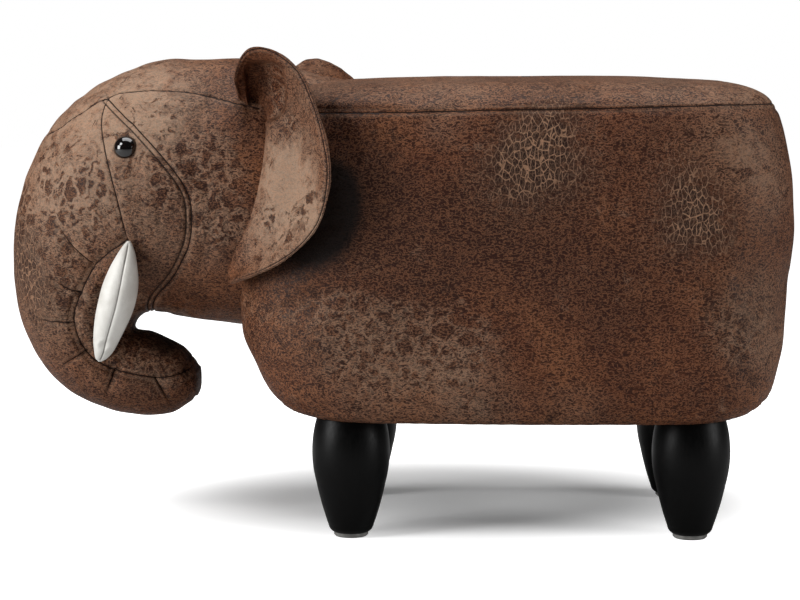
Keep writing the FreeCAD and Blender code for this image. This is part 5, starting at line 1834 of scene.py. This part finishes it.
    def _grained(self, finish: Finish, colour: Any, found: dict[str, Any], worn_and_highlight: Any,
                 reach: Any) -> Any:
        """Dark pits round the pebbles and lit tops on them, weaker where paler by wear and painted
        highlight.

        Args:
            finish: The material that is drawn.
            colour: The colour below.
            found: The patterns by name.
            worn_and_highlight: Mask of all that is paler, by wear and by painted highlight.
            reach: Mask of the crackled places.

        Returns:
            The colour with them.
        """
        add, pebble = finish.add, found["pebble"]
        mottle = add("MapRange", (found["fine"], 0.62, 0.40, 0.50, 0.95), **EASED)
        flat = add("Math", (worn_and_highlight, reach), **LARGER)
        kept = add("MapRange", (flat, 0.3, 1.0, 1.0, 0.4), **EASED)
        pits = add("Math", (add("Math", (pebble, mottle), **TIMES), kept), **TIMES)
        colour = finish.lay(pits, 1.0, colour, self.pit)
        tops = add("Math", (add("MapRange", (pebble, 0.5, 0.0), **EASED),
                            add("MapRange", (reach, 0.2, 0.9, 0.40, 0.08), **EASED)), **TIMES)
        return finish.lay(tops, 1.0, colour, self.ridge)

    def _seam_marks(self, finish: Finish) -> tuple[Any, Any]:
        """The dark line in each seam and the paler ridges beside it, bared by wear.

        The rear seam of the head has a second, weaker line at its topstitching.

        Args:
            finish: The material that is drawn.

        Returns:
            The masks of the lines and of the ridges.
        """
        add = finish.add
        line: Any = 0.0
        ridge: Any = 0.0
        for name in ("seam_a", "seam_b", "seam_c"):
            distance, _, presence = finish.channel(name)
            line = add("Math", (line, finish.line(distance, presence, 0.75 * MM, 0.2 * MM)), **LARGER)
            away = add("Math", (distance,), **UNSIGNED)
            fade = add("MapRange", (away, 4.5 * MM, 2.2 * MM), **EASED)
            beside = finish.line(distance, presence, 1.2 * MM, 2.2 * MM)
            ridge = add("Math", (ridge, add("Math", (beside, fade), **TIMES)), **LARGER)
            if name == "seam_b":
                inside = add("Math", (distance, self.topstitch), operation="ADD")
                mark = finish.line(inside, presence, 0.9 * MM, 0.2 * MM)
                line = add("Math", (line, add("Math", (mark, 0.75), **TIMES)), **LARGER)
        return line, ridge


@dataclass(frozen=True)
class WhiteLeather:
    """Smooth coated white leather cloth with a faint grain and a satin face."""

    grain: float = 1.2 * MM
    white: str = "#dedcd6"
    shade: str = "#cbc8c1"
    thread_shade: str = "#8d8a85"

    def build(self) -> Finish:
        """Builds the material.

        Returns:
            The material.
        """
        finish = Finish("white_leather_cloth")
        add = finish.add
        pebble = add("TexVoronoi", {"Scale": 1 / self.grain}, "Distance")
        clouds = add("TexNoise", {"Scale": 1 / (22 * MM), "Detail": 4.0, "Roughness": 0.55})
        dents = add("TexNoise", {"Scale": 1 / (5 * MM), "Detail": 3.0})
        colour = finish.between(clouds, 0.35, 0.7, self.white, self.shade)
        line: Any = 0.0
        for name in ("seam_a", "seam_c"):
            distance, _, presence = finish.channel(name)
            mark = finish.line(distance, presence, 0.75 * MM, 0.25 * MM)
            line = add("Math", (line, mark), **LARGER)
        colour = finish.lay(line, 1.0, colour, self.thread_shade)
        finish.set(Base_Color=colour, Roughness=0.44, Specular_IOR_Level=0.45)
        finish.bump((add("MapRange", (pebble, 0.1, 0.8, 1.0, 0.0), **EASED), 0.03 * MM),
                    (dents, 0.25 * MM), (line, -0.25 * MM))
        return finish


@dataclass(frozen=True)
class Lacquer:
    """Black satin lacquer sprayed on turned hardwood: pores just show through it."""

    black: str = "#010101"
    pore: str = "#050404"

    def build(self) -> Finish:
        """Builds the material.

        Returns:
            The material.
        """
        finish = Finish("black_satin_lacquer")
        add = finish.add
        upright = add("Mapping", {"Vector": finish.place, "Scale": (1.0, 1.0, 0.06)})
        pores = add("TexNoise", {"Vector": upright, "Scale": 1 / (0.9 * MM), "Detail": 4.0,
                                 "Roughness": 0.6})
        peel = add("TexNoise", {"Scale": 1 / (3.5 * MM)})
        rough = add("MapRange", (pores, 0.3, 0.7, 0.34, 0.46), **EASED)
        finish.set(Base_Color=finish.between(pores, 0.45, 0.75, self.black, self.pore),
                   Roughness=rough, Specular_IOR_Level=0.13)
        finish.bump((pores, 0.03 * MM), (peel, 0.06 * MM))
        return finish


@dataclass(frozen=True)
class EyeGloss:
    """Clear-coated dark acrylic: near black, with faint brown swirls inside."""

    pupil: str = "#070404"
    iris: str = "#2a110a"

    def build(self) -> Finish:
        """Builds the material.

        Returns:
            The material.
        """
        finish = Finish("polished_acrylic_eye")
        add = finish.add
        swirl = add("TexNoise", {"Scale": 1 / (4 * MM), "Detail": 3.0})
        colour = finish.between(swirl, 0.5, 0.8, self.pupil, self.iris, 0.3)
        finish.set(Base_Color=colour, Roughness=0.05, Specular_IOR_Level=0.6,
                   Coat_Weight=0.4, Coat_Roughness=0.02)
        return finish


@dataclass(frozen=True)
class Moulded:
    """Moulded plastic: a fine spark-eroded grain with slight clouds in its colour."""

    name: str
    colour: str
    shade: str
    clear: float = 0.0

    def build(self) -> Finish:
        """Builds the material.

        Returns:
            The material.
        """
        finish = Finish(self.name)
        add = finish.add
        clouds = add("TexNoise", {"Scale": 1 / (6 * MM), "Detail": 3.0})
        grain = add("TexNoise", {"Scale": 1 / (0.5 * MM)})
        finish.set(Base_Color=finish.between(clouds, 0.35, 0.7, self.colour, self.shade),
                   Roughness=0.42, Transmission_Weight=self.clear, Specular_IOR_Level=0.5)
        finish.bump((grain, 0.02 * MM))
        return finish


@dataclass(frozen=True)
class Metal:
    """Zinc-plated steel wire and pressings: grey, with drawn lines and small clouds."""

    colour: str = "#b9bbbd"
    shade: str = "#8e9194"

    def build(self) -> Finish:
        """Builds the material.

        Returns:
            The material.
        """
        finish = Finish("zinc_plated_steel")
        add = finish.add
        upright = add("Mapping", {"Vector": finish.place, "Scale": (0.1, 0.1, 1.0)})
        drawn = add("TexNoise", {"Vector": upright, "Scale": 1 / (0.4 * MM)})
        clouds = add("TexNoise", {"Scale": 1 / (5 * MM), "Detail": 4.0})
        rough = add("MapRange", (drawn, 0.3, 0.7, 0.28, 0.45), **EASED)
        finish.set(Base_Color=finish.between(clouds, 0.35, 0.7, self.colour, self.shade),
                   Metallic=1.0, Roughness=rough)
        finish.bump((drawn, 0.01 * MM))
        return finish


@dataclass(frozen=True)
class DustCloth:
    """Black spun-bonded cloth: pressed dots in a close grid over matted fibres."""

    dot: float = 1.5 * MM
    black: str = "#141414"
    fibre: str = "#2b2b2b"

    def build(self) -> Finish:
        """Builds the material.

        Returns:
            The material.
        """
        finish = Finish("spun_bonded_cloth")
        add = finish.add
        dots = add("TexVoronoi", {"Scale": 1 / self.dot, "Randomness": 0.0}, "Distance")
        fibres = add("TexNoise", {"Scale": 1 / (1.3 * MM), "Detail": 5.0,
                                  "Roughness": 0.7, "Distortion": 1.5})
        finish.set(Base_Color=finish.between(fibres, 0.4, 0.7, self.black, self.fibre),
                   Roughness=0.85, Specular_IOR_Level=0.25, Sheen_Weight=0.2)
        finish.bump((add("MapRange", (dots, 0.15, 0.3), **EASED), 0.08 * MM), (fibres, 0.1 * MM))
        return finish


@dataclass(frozen=True)
class Plywood:
    """Sawn birch plywood: pale faces with long grain and dark glue lines on its edges."""

    ply: float = 2.4 * MM
    wave_scale: float = 0.31
    pale: str = "#cdac7c"
    grain: str = "#a27f50"
    glue: str = "#5a4126"

    def build(self) -> Finish:
        """Builds the material.

        Returns:
            The material.
        """
        finish = Finish("sawn_birch_plywood")
        add = finish.add
        fibres, rings = (add("TexNoise", {"Vector": add("Mapping", {"Vector": finish.place,
                                                       "Scale": (stretch, 1.0, 1.0)}),
                             "Scale": 1 / size, "Detail": detail, "Roughness": roughness})
            for stretch, size, detail, roughness in (
                (0.05, 2.2 * MM, 5.0, 0.6), (0.2, 30 * MM, 3.0, 0.5)))
        wave = add("TexWave", {"Scale": self.wave_scale / self.ply, "Distortion": 0.6}, 1,
                   bands_direction="Z")
        share = add("Math", (fibres, 0.6, add("Math", (rings, 0.4), **TIMES)), **TIMES_PLUS)
        colour = finish.between(share, 0.35, 0.65, self.pale, self.grain)
        colour = finish.between(wave, 0.9, 1.0, colour, self.glue, 0.25)
        finish.set(Base_Color=colour, Roughness=0.7, Specular_IOR_Level=0.3)
        finish.bump((fibres, 0.12 * MM))
        return finish


@dataclass(frozen=True)
class Thread:
    """Bonded polyester sewing thread: two plies twisted, so it has slanting lines."""

    ply: float = 0.6 * MM
    wave_scale: float = 0.31
    colour: str = "#2a1a12"
    shade: str = "#150c08"

    def build(self) -> Finish:
        """Builds the material.

        Returns:
            The material.
        """
        finish = Finish("bonded_thread")
        plies = finish.add("TexWave", {"Scale": self.wave_scale / self.ply}, 1,
                           bands_direction="DIAGONAL")
        colour = finish.add("Mix", {0: plies, 6: self.colour, 7: self.shade}, **MIXED)
        finish.set(Base_Color=colour, Roughness=0.6, Specular_IOR_Level=0.4)
        finish.bump((plies, 0.05 * MM))
        return finish


@dataclass
class Studio:
    """Pale floor, soft lamps and the camera at the photograph's angle.

    Attributes:
        lens: Focal length for a 36 mm wide picture.
        place: Where the camera stands.
        pitch: How far it looks down, in degrees.
        yaw: How far it looks towards -X, in degrees.
        shade_band: Distances over which the floor's glow rises from shade_glow to full,
            after the floor is shifted and scaled, so that the stool's shadow shows.
        lamps: Name, place, aim, size and power in watts of each lamp.
    """

    lens: float = 103.5
    place: tuple[float, float, float] = (0.0602, -1.8586, 0.3787)
    pitch: float = 6.21
    yaw: float = 1.81
    floor_size: float = 14.0
    grey_light: float = 0.05
    shade_shift: tuple[float, float, float] = (-0.025, -0.070, 0.0)
    shade_scale: tuple[float, float, float] = (0.66, 0.88, 1.0)
    shade_band: tuple[float, float] = (0.085, 0.22)
    shade_glow: float = 0.15

    lamps: tuple[tuple[Any, ...], ...] = (
        ("left_lamp", (-1.75, -0.85, 0.55), (-0.1, 0.0, 0.22), (0.8, 0.8), 23.0),
        ("key_lamp", (-1.30, -0.95, 1.35), (-0.05, 0.0, 0.22), (0.6, 0.6), 12.5),
        ("top_lamp", (0.0, 0.05, 1.65), (0.0, 0.0, 0.20), (1.6, 1.0), 21.0),
        ("right_lamp", (1.80, -0.70, 0.55), (0.1, 0.0, 0.22), (0.7, 0.9), 14.5),
    )

    def build(self) -> None:
        """Builds all of it."""
        self._camera()
        self._floor()
        self._world()
        for lamp in self.lamps:
            self._lamp(*lamp)

    def _camera(self) -> None:
        """The camera, level but for its pitch and yaw."""
        data = bpy.data.cameras.new("camera")
        data.lens = self.lens
        data.sensor_width = 36.0
        data.clip_end = 50.0
        camera = bpy.data.objects.new("camera", data)
        camera.location = self.place
        camera.rotation_euler = (math.radians(90 - self.pitch), 0.0, math.radians(self.yaw))
        bpy.context.scene.collection.objects.link(camera)
        bpy.context.scene.camera = camera

    def _floor(self) -> None:
        """A wide pale sheet that shows near white and keeps the stool's shadow."""
        half = self.floor_size / 2
        corners = np.array([[-half, -half, 0], [half, -half, 0], [half, half, 0], [-half, half, 0]])
        floor = mesh_piece("studio_floor", corners, np.array([[0, 1, 2, 3]]),
                           np.zeros((0, 3), int), False)
        finish = Finish("studio_paper")
        add = finish.add
        seen = add("LightPath", output="Is Camera Ray")
        oval = add("Mapping", {"Vector": finish.place, "Location": self.shade_shift,
                               "Scale": self.shade_scale})
        away = add("VectorMath", (oval,), "Value", operation="LENGTH")
        glow = add("MapRange", (away, *self.shade_band, self.shade_glow, 1.0), **EASED)
        clouds = add("TexNoise", {"Scale": 1 / (40 * MM)})
        paper = finish.lay(clouds, 1.0, "#f0f0f0", "#f4f4f4")
        finish.set(Base_Color=finish.lay(seen, 1.0, "#d0d0d0", paper), Roughness=0.9,
                   Specular_IOR_Level=0.1, Emission_Color="#ffffff",
                   Emission_Strength=add("Math", (seen, glow), **TIMES))
        finish.dress(floor)
        floor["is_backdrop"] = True

    def _world(self) -> None:
        """White where the camera looks past the floor, a soft grey as light."""
        world = bpy.data.worlds.new("studio")
        world.use_nodes = True
        tree = world.node_tree
        tree.nodes.clear()
        seen = add_node(tree, "LightPath").outputs["Is Camera Ray"]
        strength = add_node(tree, "MapRange", (seen, 0.0, 1.0, self.grey_light, 1.0))
        background = add_node(tree, "Background", ("#ffffff", strength.outputs[0]))
        add_node(tree, "OutputWorld", (background.outputs[0],))
        bpy.context.scene.world = world

    def _lamp(self, name: str, place: tuple[float, ...], aim: tuple[float, ...],
              size: tuple[float, float], power: float) -> None:
        """An oblong soft lamp that faces a point.

        Args:
            name: Name of the lamp.
            place: Where it stands.
            aim: The point that it faces.
            size: Its two sides.
            power: Its power in watts.
        """
        data = bpy.data.lights.new(name, "AREA")
        data.shape = "RECTANGLE"
        data.size, data.size_y = size
        data.energy = power
        lamp = bpy.data.objects.new(name, data)
        lamp.location = place
        aimed = Vector(aim) - Vector(place)
        lamp.rotation_euler = aimed.to_track_quat("-Z", "Y").to_euler()
        bpy.context.scene.collection.objects.link(lamp)


@dataclass
class Stool:
    """The whole stool: new covers over the frame, and finishes for what stays."""

    leather: Finish
    white: Finish
    thread: Finish

    def build(self) -> None:
        """Builds and reports every piece in order."""
        self._head()
        self._body()
        for hand in Hand:
            self._ear(hand)
            self._tusk(hand)
        self._dress_frame()

    def _head(self) -> None:
        """The cover of head and trunk."""
        cover, paths = HeadCover().build()
        self._sew(cover, self.leather, Slot.BROWN, "root")
        stitches = self._stitch("head_topstitching", paths)
        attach(stitches, "root")
        panels = ["jaw_panel", "eye_panel", "trunk_inner_panel", "trunk_side_panel"]
        names = [f"{panel}_{hand.label}" for panel in panels for hand in Hand]
        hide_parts("head_gusset", "head_stuffing", "trunk_stuffing", *names)

    def _body(self) -> None:
        """The cover of the body."""
        cover = BodyCover().build()
        self._sew(cover, self.leather, Slot.BROWN, "root")
        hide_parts("seat_cover_top", "side_cover_left", "side_cover_right",
                    "seat_padding", "body_padding")

    def _ear(self, hand: Hand) -> None:
        """One ear from its sewn base to its rim, with the stitching along the rim.

        Args:
            hand: Which side it is on. The far ear leans back further than the near one.
        """
        floppy = {"lean": 13.0, "droop": 2.5 * MM, "stretch": 1.22}
        cover, paths = Ear(hand, **(floppy if hand is Hand.RIGHT else {})).build()
        self.leather.dress(cover)
        for piece in (cover, self._stitch(f"ear_{hand.label}_stitching", paths)):
            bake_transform(piece)
        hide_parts(*[f"ear_{part}_{hand.label}" for part in ("face", "padding", "back")])
        LOG.info("built %s", cover.name)

    def _stitch(self, name: str, paths: list[Path]) -> Piece:
        """Thread stitches along some paths, dressed as thread.

        Args:
            name: Name of the piece.
            paths: Pairs of points and normals.

        Returns:
            The stitches.
        """
        stitches = Stitching().build(name, paths)
        self.thread.dress(stitches)
        LOG.info("built %s", name)
        return stitches

    def _tusk(self, hand: Hand) -> None:
        """One tusk, hung on its own body at its sewn root.

        Args:
            hand: Which side it is on. The far tusk leans so far forward that it stays
                behind the trunk in the photograph's view.
        """
        cover = Tusk(hand, lean=1.15 if hand is Hand.LEFT else 2.3).build()
        self._sew(cover, self.white, Slot.WHITE, f"tusk_{hand.label}")
        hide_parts(f"tusk_cover_{hand.label}", f"tusk_filling_{hand.label}")

    def _sew(self, cover: Piece, finish: Finish, slot: Slot, body: str) -> None:
        """Dresses a padded cover, hangs it on the body that carries it, and logs it.

        Args:
            cover: The cover.
            finish: Its finish.
            slot: Its slot in the record; not used.
            body: The body that carries it.
        """
        finish.dress(cover)
        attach(cover, body)
        LOG.info("built %s", cover.name)

    def _dress_frame(self) -> None:
        """Gives every node of the frame that stays its own finish."""
        kinds = {
            Slot.TIMBER: Plywood(),
            Slot.LEG: Lacquer(),
            Slot.GLIDE: Moulded("translucent_nylon", "#b4b2ae", "#8f8d8a", 0.5),
            Slot.STEEL: Metal(),
            Slot.DUST_CLOTH: DustCloth(),
            Slot.WASHER: Moulded("moulded_polythene", "#d9d7d2", "#c3c1bb"),
            Slot.EYE: EyeGloss(),
            Slot.PADDING: Moulded("stuffing_fibre", "#e6e2d8", "#d8d3c6"),
        }
        finishes = {slot: kind.build() for slot, kind in kinds.items()}
        finishes |= {Slot.WHITE: self.white, Slot.BROWN: self.leather}
        for part in frame["record"]["subparts"]:
            finishes[Slot(part["material_slot"])].dress(frame["nodes"][part["node"]])


def main() -> None:
    """Builds the studio and the stool, and works out both boxes."""
    logging.basicConfig(level=logging.INFO, format="%(message)s")
    bpy.context.scene.view_settings.view_transform = "Standard"
    Studio().build()
    Stool(VintageLeather().build(), WhiteLeather().build(), Thread().build()).build()
    boxes = {"cad": CAD_BOX, "visual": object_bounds()}
    {name: [list(corner) for corner in box] for name, box in boxes.items()}


if __name__ == "__main__":
    main()
